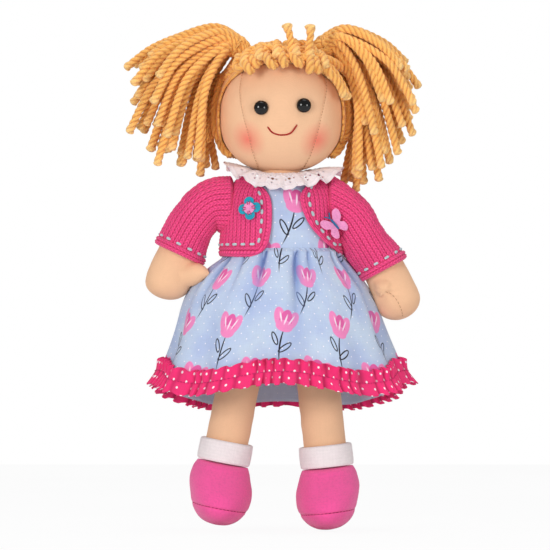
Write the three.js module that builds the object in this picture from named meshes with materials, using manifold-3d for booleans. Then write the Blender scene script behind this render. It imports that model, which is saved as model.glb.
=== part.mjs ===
// Stuffed rag doll in a gathered dress and a short knitted cardigan, held upright at the waist.
// Millimetres. Z is up, the face looks along -Y and the origin is the middle of the waist.
// Left and right are the doll's own, so the left side is on +X.

import * as THREE from 'three';
import { mergeVertices } from 'three/addons/utils/BufferGeometryUtils.js';
import Module from 'manifold-3d';

const wasm = await Module();
wasm.setup();

const degree = Math.PI / 180;
const fullTurn = 360 * degree;
const quarterTurn = 90 * degree;

// Gaps between pieces that touch
const gap = 0.35;
const overrun = 60;

// Body
const bodyHalfWidth = 37.5;
const bodyHalfDepth = 22.5;
const seatDrop = 50;
const shoulderRise = 45;
const bodyRoundness = 0.87;
const neckRadius = 12.2;
const neckBallRadius = 13;
const neckLength = 8;
const neckPivotRise = shoulderRise + neckLength;
const torsoSides = 24;

// Head
const headHalfWidth = 43;
const headHalfDepth = 39;
const chinDrop = 1;
const cheekHeight = 37;
const crownHeight = 49;
const chinRise = neckPivotRise - chinDrop;
const cheekRise = chinRise + cheekHeight;
const crownRise = cheekRise + crownHeight;
const headFullness = 0.88;
const headSides = 30;
const headRows = 14;
const socketSides = 18;

// Eyes, with a shank through the cloth and a washer inside the head
const eyeRadius = 5;
const eyeDomeHeight = 3.4;
const eyeRimHeight = 0.8;
const shankRadius = 1.5;
const shankLength = 8;
const washerRadius = 6;
const washerThickness = 1.4;
const clothDepth = 3;
const eyeSides = 14;
const rightEyeAcross = -13.6;
const leftEyeAcross = 15.7;
const rightEyeLift = 7;
const leftEyeLift = 8.6;
const rightEyeRise = cheekRise + rightEyeLift;
const leftEyeRise = cheekRise + leftEyeLift;

// Hair
const hairThickness = 5.8;
const hairlineInset = 0.4;
const hairlineDrop = 10;
const hairlineMiddleLift = 3;
const napeLift = 11;
const hairlineHalfWidth = headHalfWidth - hairlineInset;
const hairlineRise = crownRise - hairlineDrop;
const hairlineMiddleRise = cheekRise + hairlineMiddleLift;
const napeRise = chinRise + napeLift;
const templeDepth = 3;
const strandRadius = 2.75;
const strandSides = 5;
const strandSteps = 6;
const fringeFrom = -33 * degree;
const fringeTo = 38 * degree;
const fringeEnd = 76 * degree;
const fringeStandOff = 2.2;
const fringeTurns = 7;
const fringeTurnSteps = 8;
const fringeLoopHeight = 5.6;
const fringeLoopDepth = 1.9;
const fringeStrandRadius = 2.35;
const tuftHeight = 21;
const tuftTaper = 0.15;

// Bunches of hair: where each grows from the head, and how far its strands reach and hang
const bunchRootLift = 52 * degree;
const bunchLean = 38 * degree;
const bunchCrest = 19;
const bunchHalfDepth = 24;
const rightBunchReach = 76;
const rightBunchDrop = 78;
const leftBunchReach = 64;
const leftBunchDrop = 88;
const tieRise = 7.4;
const tieInnerRadius = 8.2;
const tieThickness = 2.4;

// Arms, with how far each hand reaches out and down from its shoulder
const shoulderInset = 2.5;
const shoulderPivotDrop = 15;
const shoulderSeamAcross = bodyHalfWidth - shoulderInset;
const shoulderPivotRise = shoulderRise - shoulderPivotDrop;
const shoulderSeamRadius = 14.5;
const armRadius = 15;
const armFlatness = 0.94;
const handRadius = 16;
const armSides = 20;
const thumbRadius = 6.6;
const rightArmReach = 45;
const rightArmDrop = 65.5;
const leftArmReach = 50.5;
const leftArmDrop = 78.5;

// Legs
const hipAcross = 21;
const legRadius = 14.8;
const legSeamHalfWidth = 12.5;
const legSeamHalfDepth = 1;
const legSides = 20;
const rightLegLength = 91;
const leftLegLength = 94;
const rightLegSplay = 17.6;
const leftLegSplay = 10.3;

// Booties and folded sock bands, along each leg from the ankle
const bootieHeight = 50;
const bootieHalfWidth = 22;
const toeReach = 35;
const heelReach = 18;
const bootieSides = 20;
const soleHeight = 12.5;
const sockBandHeight = 16;
const sockBandThickness = 3.4;
const sockBandOverlap = 8;

// Dress
const clothThickness = 1.1;
const waistDrop = 0.4;
const neckEdgeDrop = 0.7;
const hemHalfWidth = 85;
const hemHalfDepth = 60;
const hemDrop = 102.5;
const hemTilt = 9;
const hemSideRise = 4.2;
const hemWave = 5;
const foldCount = 12;
const foldSteps = 6;
const foldDepth = 2.6;
const ruffleHeight = 17;
const ruffleDepth = 3.4;
const ruffleSteps = 3;
const hemLap = 2;

// Lace collar
const collarInnerRadius = 14.2;
const collarLift = 5.2;
const collarRise = shoulderRise + collarLift;
const collarArch = 2.4;
const collarHalfWidth = 38;
const collarHalfDepth = 28;
const collarEdgeLift = 5;
const collarEdgeRise = shoulderRise + collarEdgeLift;
const collarSideLift = 6;
const collarFrontDrop = 4;
const collarFrills = 10;
const collarFrillHeight = 2;
const collarScallop = 1.3;
const laceThickness = 0.9;

// Cardigan
const knitThickness = 2.4;
const knitEase = 0.9;
const cardiganHemDrop = 6;
const cardiganFlare = 1.6;
const cardiganTopDrop = 1;
const sleeveEase = 0.5;
const sleeveCapRadius = 19.6;
const armholeRadius = 21.2;
const armholeSlope = 1.25;

// Felt flower and butterfly on the cardigan
const feltThickness = 1.2;
const flowerRadius = 7.4;
const flowerCentreRadius = 4;
const flowerAngle = -33 * degree;
const flowerDrop = 17.5;
const flowerRise = shoulderRise - flowerDrop;
const butterflyHalfSpan = 9.2;
const butterflyAngle = 43 * degree;
const butterflyDrop = 26;
const butterflyRise = shoulderRise - butterflyDrop;
const butterflyTurn = 42 * degree;
const butterflyBodyRadius = 0.8;

// Outlines, as shares of the sizes above
const torsoShares = [
  [0, 0.88, 0.045],
  [0.052, 0.95, 0.2],
  [0.137, 0.985, 0.46],
  [0.253, 1, 0.74],
  [0.442, 0.975, 1],
  [0.632, 0.965, 0.98],
  [0.8, 0.955, 0.91],
  [0.91, 0.9, 0.78],
  [0.968, 0.74, 0.65],
  [0.994, 0.5, 0.57],
  [1, 0.325, 0.542],
];
const armShares = [
  [0, 0.97], [0.12, 1.02], [0.3, 1.03], [0.5, 1], [0.64, 0.97], [0.74, 1.02],
  [0.84, 1.06], [0.915, 0.96], [0.965, 0.7], [0.99, 0.38],
];
// The middle lines of the arms and thumbs: out, down and, for the thumbs, forward
const rightArmShares = [[0, 0], [0.28, 0.03], [0.54, 0.22], [0.76, 0.49], [0.923, 0.763], [1, 1]];
const leftArmShares = [[0, 0], [0.269, 0.115], [0.516, 0.36], [0.733, 0.6], [0.872, 0.803], [1, 1]];
const rightThumbShares = [[0.812, 0.779, 0.25], [0.61, 0.79, 0.4], [0.41, 0.765, 0.45]];
const leftThumbShares = [[0.783, 0.752, 0.562], [0.822, 0.841, 0.844], [0.882, 0.911, 0.844]];
const sleeveShares = [0, 0.12, 0.26, 0.4, 0.52, 0.62];
const legShares = [
  [0, 0, 0], [0.05, 0.6, 0.3], [0.13, 0.9, 0.62], [0.25, 1, 0.93],
  [0.4, 1, 1], [0.65, 0.97, 0.99], [1, 0.94, 0.96],
];
const bootieShares = [
  [0, 0.65, 0.4, 0.78], [0.152, 0.65, 0.4, 0.78], [0.175, 0.8, 0.5, 0.9], [0.28, 0.9, 0.6, 0.96],
  [0.45, 0.98, 0.8, 1], [0.62, 1, 0.97, 1], [0.78, 0.95, 1, 0.97], [0.9, 0.8, 0.9, 0.84],
  [0.975, 0.55, 0.66, 0.6], [1, 0.38, 0.48, 0.42],
];
const skirtShares = [[0, 0], [0.06, 0.035], [0.14, 0.14], [0.35, 0.4], [0.67, 0.71], [1, 1]];
const rightFrontEdgeShares = [0.37, 0.2, 0.13, 0.11, 0.11, 0.13, 0.17];
const leftFrontEdgeShares = [0.66, 0.44, 0.34, 0.27, 0.22, 0.22, 0.3];

const rightArm = {
  side: -1,
  reach: rightArmReach,
  drop: rightArmDrop,
  shares: rightArmShares,
  thumbShares: rightThumbShares,
};
const leftArm = {
  side: 1,
  reach: leftArmReach,
  drop: leftArmDrop,
  shares: leftArmShares,
  thumbShares: leftThumbShares,
};

// Strand ends of the bunches: out, down and forward shares of reach, drop and depth
const rightBunchShares = [
  [0.78, 0.0, 0.2], [1, 0.1, -0.25], [0.93, 0.25, 0.45], [0.78, 0.2, -0.7], [0.93, 0.42, -0.1],
  [0.74, 0.42, 0.9], [0.96, 0.68, 0.3], [0.84, 0.67, -0.5], [0.7, 0.62, 0.75], [0.77, 0.84, 0.1],
  [0.64, 0.8, -0.85], [0.7, 0.97, 0.5], [0.5, 0.97, -0.3], [0.34, 0.93, 0.35],
];
const leftBunchShares = [
  [0.85, 0.05, 0.1], [1, 0.24, -0.3], [0.92, 0.35, 0.5], [0.6, 0.36, 0.95], [0.93, 0.62, -0.05],
  [0.5, 0.62, 0.85], [0.82, 0.68, -0.7], [0.76, 0.77, 0.4], [0.68, 0.84, -0.35], [0.58, 0.88, 0.6],
  [0.56, 0.98, 0.05], [0.4, 1, -0.45], [0.33, 0.96, 0.3],
];

const skin = new THREE.MeshStandardMaterial({ color: 0xeebf9b, roughness: 0.9, metalness: 0 });
const yarn = new THREE.MeshStandardMaterial({ color: 0xe5a85c, roughness: 0.95, metalness: 0 });
const black = new THREE.MeshStandardMaterial({ color: 0x0c0c0e, roughness: 0.12, metalness: 0 });
const washerWhite = new THREE.MeshStandardMaterial({ color: 0xe6e4de, roughness: 0.5, metalness: 0 });
const jersey = new THREE.MeshStandardMaterial({ color: 0xdd4a95, roughness: 0.9, metalness: 0 });
const sockWhite = new THREE.MeshStandardMaterial({ color: 0xeedde4, roughness: 0.95, metalness: 0 });
const dressBlue = new THREE.MeshStandardMaterial({ color: 0xa9bce8, roughness: 0.9, metalness: 0 });
const rufflePink = new THREE.MeshStandardMaterial({ color: 0xdc1f78, roughness: 0.9, metalness: 0 });
const laceWhite = new THREE.MeshStandardMaterial({ color: 0xf3e6ea, roughness: 0.9, metalness: 0 });
const knitPink = new THREE.MeshStandardMaterial({ color: 0xd92a72, roughness: 0.95, metalness: 0 });
const teal = new THREE.MeshStandardMaterial({ color: 0x12a0b8, roughness: 0.95, metalness: 0 });
const feltPink = new THREE.MeshStandardMaterial({ color: 0xee8cc0, roughness: 0.95, metalness: 0 });
const threadBlue = new THREE.MeshStandardMaterial({ color: 0x2a7fb0, roughness: 0.9, metalness: 0 });

const doll = new THREE.Group();

function addPiece(name, geometry, material) {
  const mesh = new THREE.Mesh(geometry, material);
  mesh.name = name;
  doll.add(mesh);
  return mesh;
}

// A closed geometry from points and triangles, turned so that its faces point out
function closed(points, triangles) {
  let volume = 0;
  for (const [a, b, c] of triangles) {
    volume += points[a].dot(points[b].clone().cross(points[c]));
  }
  const faces = volume < 0 ? triangles.map(([a, b, c]) => [a, c, b]) : triangles;
  const places = points.flatMap((point) => point.toArray());
  const geometry = new THREE.BufferGeometry();
  geometry.setAttribute('position', new THREE.Float32BufferAttribute(places, 3));
  geometry.setIndex(faces.flat());
  return geometry;
}

// A skin over a stack of rings; an end ring of one point is a tip, and other ends are closed flat
function loft(rings) {
  const points = [];
  const triangles = [];
  const starts = [];
  for (const ring of rings) {
    starts.push(points.length);
    points.push(...ring);
  }
  for (let row = 0; row < rings.length - 1; row += 1) {
    const lower = rings[row].length;
    const upper = rings[row + 1].length;
    const count = Math.max(lower, upper);
    for (let i = 0; i < count; i += 1) {
      const next = (i + 1) % count;
      const a = starts[row] + (lower > 1 ? i : 0);
      const b = starts[row] + (lower > 1 ? next : 0);
      const c = starts[row + 1] + (upper > 1 ? next : 0);
      const d = starts[row + 1] + (upper > 1 ? i : 0);
      if (a !== b) triangles.push([a, b, c]);
      if (c !== d) triangles.push([a, c, d]);
    }
  }
  for (const row of [0, rings.length - 1]) {
    const ring = rings[row];
    if (ring.length > 1) {
      const middle = new THREE.Vector3();
      ring.forEach((p) => middle.add(p));
      points.push(middle.divideScalar(ring.length));
      for (let i = 0; i < ring.length; i += 1) {
        const pair = [starts[row] + i, starts[row] + ((i + 1) % ring.length)];
        if (row === 0) pair.reverse();
        triangles.push([...pair, points.length - 1]);
      }
    }
  }
  return closed(points, triangles);
}

// A sheet with an outer and an inner face, each a grid of rows; wrapped when its columns close a ring
function sheet(outer, inner, wrapped) {
  const rows = outer.length;
  const columns = outer[0].length;
  const points = [...outer.flat(), ...inner.flat()];
  const triangles = [];
  const at = (face, row, column) => face * rows * columns + row * columns + (column % columns);
  const quad = (a, b, c, d) => triangles.push([a, b, c], [a, c, d]);
  const spans = wrapped ? columns : columns - 1;
  for (let column = 0; column < spans; column += 1) {
    for (let row = 0; row < rows - 1; row += 1) {
      quad(at(0, row, column), at(0, row, column + 1), at(0, row + 1, column + 1), at(0, row + 1, column));
      quad(at(1, row, column), at(1, row + 1, column), at(1, row + 1, column + 1), at(1, row, column + 1));
    }
    const last = rows - 1;
    quad(at(0, 0, column + 1), at(0, 0, column), at(1, 0, column), at(1, 0, column + 1));
    quad(at(0, last, column), at(0, last, column + 1), at(1, last, column + 1), at(1, last, column));
  }
  if (!wrapped) {
    const end = columns - 1;
    for (let row = 0; row < rows - 1; row += 1) {
      quad(at(0, row, 0), at(0, row + 1, 0), at(1, row + 1, 0), at(1, row, 0));
      quad(at(0, row + 1, end), at(0, row, end), at(1, row, end), at(1, row + 1, end));
    }
  }
  return closed(points, triangles);
}

function grid(rows, columns, pointAt) {
  const rowAt = (row) => Array.from({ length: columns }, (_, column) => pointAt(row, column));
  return Array.from({ length: rows }, (_, row) => rowAt(row));
}

function solidOf(geometry) {
  const plain = new THREE.BufferGeometry();
  plain.setAttribute('position', geometry.getAttribute('position'));
  plain.setIndex(geometry.getIndex());
  const merged = mergeVertices(plain);
  return new wasm.Manifold(new wasm.Mesh({
    numProp: 3,
    vertProperties: new Float32Array(merged.getAttribute('position').array),
    triVerts: new Uint32Array(merged.getIndex().array),
  }));
}

function geometryOf(solid) {
  const mesh = solid.getMesh();
  const geometry = new THREE.BufferGeometry();
  geometry.setAttribute('position', new THREE.Float32BufferAttribute(mesh.vertProperties, mesh.numProp));
  geometry.setIndex(new THREE.Uint32BufferAttribute(mesh.triVerts, 1));
  return geometry;
}

function cutAway(geometry, ...cutters) {
  return geometryOf(cutters.reduce((solid, cutter) => solid.subtract(solidOf(cutter)), solidOf(geometry)));
}

// Solids joined into one body, with any pocket that they close off filled
function joined(geometry, ...others) {
  const whole = others.reduce((solid, other) => solid.add(solidOf(other)), solidOf(geometry));
  const [largest] = whole.decompose().sort((a, b) => b.volume() - a.volume());
  return geometryOf(largest);
}

function revolved(profile, sides) {
  const outline = profile.map(([radius, height]) => new THREE.Vector2(radius, height));
  const lathe = new THREE.LatheGeometry(outline, sides);
  lathe.deleteAttribute('normal');
  lathe.deleteAttribute('uv');
  const merged = mergeVertices(lathe);
  const position = merged.getAttribute('position');
  const pointAt = (_, i) => new THREE.Vector3().fromBufferAttribute(position, i);
  const points = Array.from({ length: position.count }, pointAt);
  const index = merged.getIndex().array;
  const triangles = [];
  for (let i = 0; i < index.length; i += 3) {
    const [a, b, c] = index.slice(i, i + 3);
    if (a !== b && b !== c && c !== a) triangles.push([a, b, c]);
  }
  return closed(points, triangles);
}

// Turns a shape made about +Y so that it lies about the given direction, then moves it to its place
function placed(geometry, direction, place) {
  const upright = new THREE.Vector3(0, 1, 0);
  const turned = new THREE.Quaternion().setFromUnitVectors(upright, direction.clone().normalize());
  return geometry.clone().applyQuaternion(turned).translate(place.x, place.y, place.z);
}

// A point in plan, front at angle 0 and the doll's left at a quarter turn
function oval(angle, halfWidth, halfDepth, roundness) {
  const sine = Math.sin(angle);
  const cosine = Math.cos(angle);
  return [
    halfWidth * Math.sign(sine) * Math.abs(sine) ** roundness,
    -halfDepth * Math.sign(cosine) * Math.abs(cosine) ** roundness,
  ];
}

// The point at a distance outside a surface that is given by an angle and a share
function outside(surface, angle, share, distance) {
  const step = 0.002;
  const around = surface(angle + step, share).sub(surface(angle - step, share));
  const upward = surface(angle, share + step).sub(surface(angle, share - step));
  return surface(angle, share).addScaledVector(around.cross(upward).normalize(), distance);
}

const torsoCurve = new THREE.CatmullRomCurve3(torsoShares.map(([rise, width, depth]) => new THREE.Vector3(
  rise * (seatDrop + shoulderRise) - seatDrop,
  width * bodyHalfWidth,
  depth * bodyHalfDepth,
)), false, 'centripetal');

function torsoSurface(angle, share) {
  const [rise, halfWidth, halfDepth] = torsoCurve.getPoint(THREE.MathUtils.clamp(share, 0, 1)).toArray();
  return new THREE.Vector3(...oval(angle, halfWidth, halfDepth, bodyRoundness), rise);
}

// The share of the torso's outline at a height
function torsoShareAt(rise) {
  let low = 0;
  let high = 1;
  while (high - low > Number.EPSILON) {
    const middle = (low + high) / 2;
    if (middle === low || middle === high) break;
    if (torsoCurve.getPoint(middle).x < rise) low = middle;
    else high = middle;
  }
  return low;
}

function headSurface(angle, lift) {
  const height = lift < 0 ? cheekRise - chinRise : crownRise - cheekRise;
  const share = Math.max(Math.cos(lift), 0) ** headFullness;
  return new THREE.Vector3(
    headHalfWidth * share * Math.sin(angle),
    -headHalfDepth * share * Math.cos(angle),
    cheekRise + height * Math.sin(lift),
  );
}

function headLiftAt(rise) {
  const height = rise < cheekRise ? cheekRise - chinRise : crownRise - cheekRise;
  return Math.asin(THREE.MathUtils.clamp((rise - cheekRise) / height, -1, 1));
}

// The head's shape, grown by a distance
function headShape(growth, rows, sides) {
  const low = -quarterTurn;
  const rings = [[new THREE.Vector3(0, 0, chinRise - growth)]];
  for (let row = 1; row < rows; row += 1) {
    const lift = low + (2 * quarterTurn * row) / rows;
    const pointAt = (_, i) => outside(headSurface, (fullTurn * i) / sides, lift, growth);
    rings.push(Array.from({ length: sides }, pointAt));
  }
  rings.push([new THREE.Vector3(0, 0, crownRise + growth)]);
  return loft(rings);
}

// A tube along points, with a radius that may change along it; the ends are closed flat
function tube(points, radiusAt, sides) {
  const curve = new THREE.CatmullRomCurve3(points, false, 'centripetal');
  const steps = points.length - 1;
  const along = Array.from({ length: steps + 1 }, (_, i) => curve.getPoint(i / steps));
  const tangents = along.map((_, i) => curve.getTangent(i / steps));
  let normal = new THREE.Vector3(0, 1, 0);
  if (Math.abs(tangents[0].y) > 0.9) normal = new THREE.Vector3(0, 0, 1);
  const rings = along.map((place, i) => {
    normal = normal.clone().addScaledVector(tangents[i], -normal.dot(tangents[i])).normalize();
    const side = tangents[i].clone().cross(normal);
    const radius = radiusAt(i / steps);
    return Array.from({ length: sides }, (_, k) => place.clone()
      .addScaledVector(normal, radius * Math.cos((fullTurn * k) / sides))
      .addScaledVector(side, radius * Math.sin((fullTurn * k) / sides)));
  });
  return loft(rings);
}

function smoothPoints(points, steps) {
  return new THREE.CatmullRomCurve3(points, false, 'centripetal').getPoints(steps);
}

// Shoulder seam faces are flat, square to the X axis that the arm turns about
function armholeCutter(side) {
  const depth = hemHalfWidth - shoulderSeamAcross;
  const profile = [[0, 0], [armholeRadius, 0], [armholeRadius + depth * armholeSlope, depth], [0, depth]];
  const place = new THREE.Vector3(side * shoulderSeamAcross, 0, shoulderPivotRise);
  return placed(revolved(profile, torsoSides), new THREE.Vector3(side, 0, 0), place);
}

// The shares of the torso's outline that its rings stand at, between two of them
function torsoRows(low, high) {
  const steps = torsoShares.length - 1;
  const between = torsoShares.map((_, i) => i / steps).filter((share) => share > low && share < high);
  return [low, ...between, high];
}

function buildTorso() {
  const rings = torsoRows(0, 1).map((share) => Array.from(
    { length: torsoSides },
    (_, i) => torsoSurface((fullTurn * i) / torsoSides, share),
  ));
  const ballRows = 5;
  const neckAngle = -Math.acos(neckRadius / neckBallRadius);
  for (let row = 0; row < ballRows; row += 1) {
    const lift = neckAngle + ((quarterTurn - neckAngle) * row) / ballRows;
    const radius = neckBallRadius * Math.cos(lift);
    const rise = neckPivotRise + neckBallRadius * Math.sin(lift);
    rings.push(Array.from({ length: torsoSides }, (_, i) => new THREE.Vector3(
      ...oval((fullTurn * i) / torsoSides, radius, radius, 1),
      rise,
    )));
  }
  rings.push([new THREE.Vector3(0, 0, neckPivotRise + neckBallRadius)]);
  addPiece('torso', cutAway(loft(rings), armholeCutter(1), armholeCutter(-1)), skin);
}

// Where an eye sits on the face, and the way that it looks
function eyePlace(across, rise) {
  const lift = headLiftAt(rise);
  const halfWidth = headHalfWidth * Math.cos(lift) ** headFullness;
  const angle = Math.asin(across / halfWidth);
  const seat = outside(headSurface, angle, lift, 0);
  const direction = outside(headSurface, angle, lift, 1).sub(seat).normalize();
  return { seat, direction };
}

function buildHeadAndEyes() {
  const socket = new THREE.SphereGeometry(neckBallRadius + 2 * gap, socketSides, socketSides / 2);
  socket.deleteAttribute('normal');
  socket.deleteAttribute('uv');
  const turnedSocket = socket.rotateX(quarterTurn).translate(0, 0, neckPivotRise);
  const cutters = [geometryOf(solidOf(turnedSocket))];
  const eyes = [['right', rightEyeAcross, rightEyeRise], ['left', leftEyeAcross, leftEyeRise]];
  for (const [name, across, rise] of eyes) {
    const { seat, direction } = eyePlace(across, rise);
    const dome = [];
    const domeSteps = 4;
    for (let i = 0; i <= domeSteps; i += 1) {
      const lift = (quarterTurn * i) / domeSteps;
      dome.push([eyeRadius * Math.cos(lift), eyeRimHeight + eyeDomeHeight * Math.sin(lift)]);
    }
    dome[domeSteps][0] = 0;
    const shank = [[0, -shankLength], [shankRadius, -shankLength], [shankRadius, 0], [eyeRadius, 0]];
    const eye = revolved([...shank, ...dome], eyeSides);
    const washerTop = -clothDepth - gap;
    const washer = revolved([
      [shankRadius + gap, washerTop - washerThickness],
      [washerRadius, washerTop - washerThickness],
      [washerRadius, washerTop],
      [shankRadius + gap, washerTop],
      [shankRadius + gap, washerTop - washerThickness],
    ], eyeSides);
    const pocketTop = -clothDepth;
    const pocket = revolved([
      [0, -shankLength - gap],
      [washerRadius + gap, -shankLength - gap],
      [washerRadius + gap, pocketTop],
      [shankRadius + gap, pocketTop],
      [shankRadius + gap, -gap],
      [eyeRadius + gap, -gap],
      [eyeRadius + gap, eyeDomeHeight],
      [0, eyeDomeHeight],
    ], eyeSides);
    addPiece(`eye_${name}`, placed(eye, direction, seat), black);
    addPiece(`eye_washer_${name}`, placed(washer, direction, seat), washerWhite);
    cutters.push(placed(pocket, direction, seat));
  }
  addPiece('head', cutAway(headShape(0, headRows, headSides), ...cutters), skin);
}

// The face opening in the hair, an upright oval cut from front to temple
function faceOpening() {
  const outline = new THREE.Shape();
  const steps = 28;
  const topHeight = hairlineRise - hairlineMiddleRise;
  const chinShare = (hairlineMiddleRise - chinRise) / topHeight;
  for (let i = 0; i <= steps; i += 1) {
    const angle = (fullTurn * i) / steps;
    const [across, up] = oval(angle, hairlineHalfWidth, topHeight, bodyRoundness);
    let rise = hairlineMiddleRise - up;
    if (up === 0) rise = hairlineMiddleRise;
    if (up > 0) rise = hairlineMiddleRise - up * chinShare - (napeRise - chinRise);
    if (i === 0) outline.moveTo(across, rise);
    else outline.lineTo(across, rise);
  }
  const prism = new THREE.ExtrudeGeometry(outline, { depth: overrun, bevelEnabled: false });
  prism.deleteAttribute('normal');
  prism.deleteAttribute('uv');
  return prism.rotateX(quarterTurn).translate(0, -templeDepth, 0);
}

function buildHairCap() {
  const under = new THREE.BoxGeometry(2 * hemHalfWidth, 2 * hemHalfWidth, overrun);
  under.deleteAttribute('normal');
  under.deleteAttribute('uv');
  under.translate(0, 0, napeRise - overrun / 2);
  const outer = headShape(hairThickness, headRows - 2, headSides - 4);
  addPiece('hair_cap', cutAway(outer, headShape(gap, headRows, headSides), faceOpening(), under), yarn);
}

// A point in front of the head's top, given in the front view, at a distance outside the head
function frontOf(across, rise, distance) {
  const lift = Math.asin((rise - cheekRise) / (crownRise - cheekRise + distance));
  const share = Math.cos(lift) ** headFullness;
  const beside = Math.min(Math.abs(across) / ((headHalfWidth + distance) * share), 1);
  const forward = (headHalfDepth + distance) * share * Math.sqrt(1 - beside * beside);
  return new THREE.Vector3(across, -forward, rise);
}

// The middle line of the fringe, which follows the top of the face opening
function fringeLine(angle, distance) {
  const [across, up] = oval(angle, hairlineHalfWidth + fringeStandOff, hairlineRise - hairlineMiddleRise
    + fringeStandOff, bodyRoundness);
  return frontOf(across, hairlineMiddleRise - up, distance);
}

// One curled strand along the hairline, with a loose end and two upright tufts
function buildFringe() {
  const distance = hairThickness + gap + fringeLoopDepth + fringeStrandRadius;
  const steps = fringeTurns * fringeTurnSteps;
  const points = [];
  for (let i = 0; i <= steps; i += 1) {
    const angle = THREE.MathUtils.lerp(fringeFrom, fringeTo, i / steps);
    const phase = (fullTurn * i) / fringeTurnSteps;
    const middle = fringeLine(angle, distance);
    const along = fringeLine(angle + degree, distance).sub(middle).normalize();
    const outward = middle.clone().sub(new THREE.Vector3(0, 0, cheekRise)).normalize();
    const upward = outward.clone().cross(along).normalize();
    points.push(middle
      .addScaledVector(outward, fringeLoopDepth * Math.sin(phase))
      .addScaledVector(upward, fringeLoopHeight * Math.cos(phase)));
  }
  const tailSteps = 6;
  for (let i = 1; i <= tailSteps; i += 1) {
    points.push(fringeLine(THREE.MathUtils.lerp(fringeTo, fringeEnd, (i + 1) / (tailSteps + 1)), distance));
  }
  const strand = tube(points, () => fringeStrandRadius, strandSides);
  const tufts = [[3, 0.13], [5, -0.02]].map(([turnNumber, lean]) => {
    const base = points[turnNumber * fringeTurnSteps];
    const tip = base.clone().add(new THREE.Vector3(-lean * tuftHeight, 0, tuftHeight));
    const bend = base.clone().lerp(tip, 0.5).add(new THREE.Vector3(0, lean * tuftHeight, 0));
    const radiusAt = (share) => strandRadius * (1 - tuftTaper * share);
    return tube(smoothPoints([base, bend, tip], 3), radiusAt, strandSides);
  });
  const least = leastGap(points, 2 * fringeStrandRadius);
  console.log(`least gap between the fringe's turns: ${least.toFixed(2)} mm`);
  addPiece('fringe', joined(strand, ...tufts), yarn);
}

// The least clear distance between stretches of one tube that aren't neighbours
function leastGap(points, diameter) {
  let least = Infinity;
  points.forEach((point, i) => {
    for (let k = i + fringeTurnSteps / 2; k < points.length; k += 1) {
      least = Math.min(least, point.distanceTo(points[k]) - diameter);
    }
  });
  return least;
}

function bunchAxis(side) {
  return new THREE.Vector3(side * Math.sin(bunchLean), 0, Math.cos(bunchLean));
}

// Strands that rise through the tie, arch over and hang, joined where they leave the head
function buildBunch(name, side, shares, reach, drop) {
  const axis = bunchAxis(side);
  const root = outside(headSurface, side * quarterTurn, bunchRootLift, hairThickness + gap);
  const clearOfHair = headHalfWidth + hairThickness + strandRadius + 2 * gap - Math.abs(root.x);
  const stemProfile = [
    [0, 0], [0.16 * tieInnerRadius, 0], [tieInnerRadius - gap, tieRise - tieThickness],
    [tieInnerRadius - gap, tieRise + tieThickness], [0, tieRise + 2 * tieThickness],
  ];
  const stem = placed(revolved(stemProfile, 14), axis, root);
  const strands = shares.map(([out, down, forward]) => {
    const toward = new THREE.Vector3(side * out, -forward, -0.6 * down).normalize();
    const from = root.clone().addScaledVector(axis, tieRise + 0.4 * tieThickness)
      .addScaledVector(toward.clone().addScaledVector(axis, -toward.dot(axis)), 0.4 * tieInnerRadius);
    const crestOut = Math.max(0.34 * out * reach, 0.62 * clearOfHair);
    const crestRise = bunchCrest * (0.8 - 0.4 * down);
    const crest = new THREE.Vector3(side * crestOut, -0.6 * forward * bunchHalfDepth, crestRise);
    const hangOut = Math.max(0.76 * out * reach, clearOfHair);
    const hangRise = 0.45 * bunchCrest - 0.5 * down * drop;
    const hang = new THREE.Vector3(side * hangOut, -forward * bunchHalfDepth, hangRise);
    const end = new THREE.Vector3(side * out * reach, -forward * bunchHalfDepth, -down * drop);
    const route = [from, crest.add(root), hang.add(root), end.add(root)];
    return tube(smoothPoints(route, strandSteps), () => strandRadius, strandSides);
  });
  addPiece(`bunch_${name}`, joined(stem, ...strands), yarn);
  const outer = tieInnerRadius + tieThickness;
  const half = 0.5 * tieThickness;
  const tie = revolved([
    [tieInnerRadius, -half], [outer - 0.4 * half, -half], [outer, 0], [outer - 0.4 * half, half],
    [tieInnerRadius, half], [tieInnerRadius, -half],
  ], 18);
  const tiePlace = root.clone().addScaledVector(axis, tieRise - half);
  addPiece(`hair_tie_${name}`, placed(tie, axis, tiePlace), knitPink);
}

// A place on an arm, from its shares out and down from the shoulder and forward of it
function armPlace({ side, reach, drop }, [out, down, forward = 0]) {
  return new THREE.Vector3(
    side * (shoulderSeamAcross + gap + out * reach),
    -forward * handRadius,
    shoulderPivotRise - down * drop,
  );
}

// The middle line of an arm, and the rings that stand on it
function armCurve(arm) {
  return new THREE.CatmullRomCurve3(arm.shares.map((place) => armPlace(arm, place)), false, 'centripetal');
}

function armRing(curve, side, share, height, depth) {
  const square = THREE.MathUtils.smoothstep(share, 0, 0.3);
  const along = new THREE.Vector3(side, 0, 0).lerp(curve.getTangentAt(share), square).normalize();
  const front = new THREE.Vector3(0, 1, 0);
  const up = along.clone().cross(front);
  const middle = curve.getPointAt(share);
  return Array.from({ length: armSides }, (_, i) => middle.clone()
    .addScaledVector(up, height * Math.cos((fullTurn * i) / armSides))
    .addScaledVector(front, depth * Math.sin((fullTurn * i) / armSides)));
}

function armRadiusAt(share) {
  for (let i = 1; i < armShares.length; i += 1) {
    const [from, start] = armShares[i - 1];
    const [to, end] = armShares[i];
    if (share <= to) return armRadius * THREE.MathUtils.lerp(start, end, (share - from) / (to - from));
  }
  return 0;
}

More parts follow.
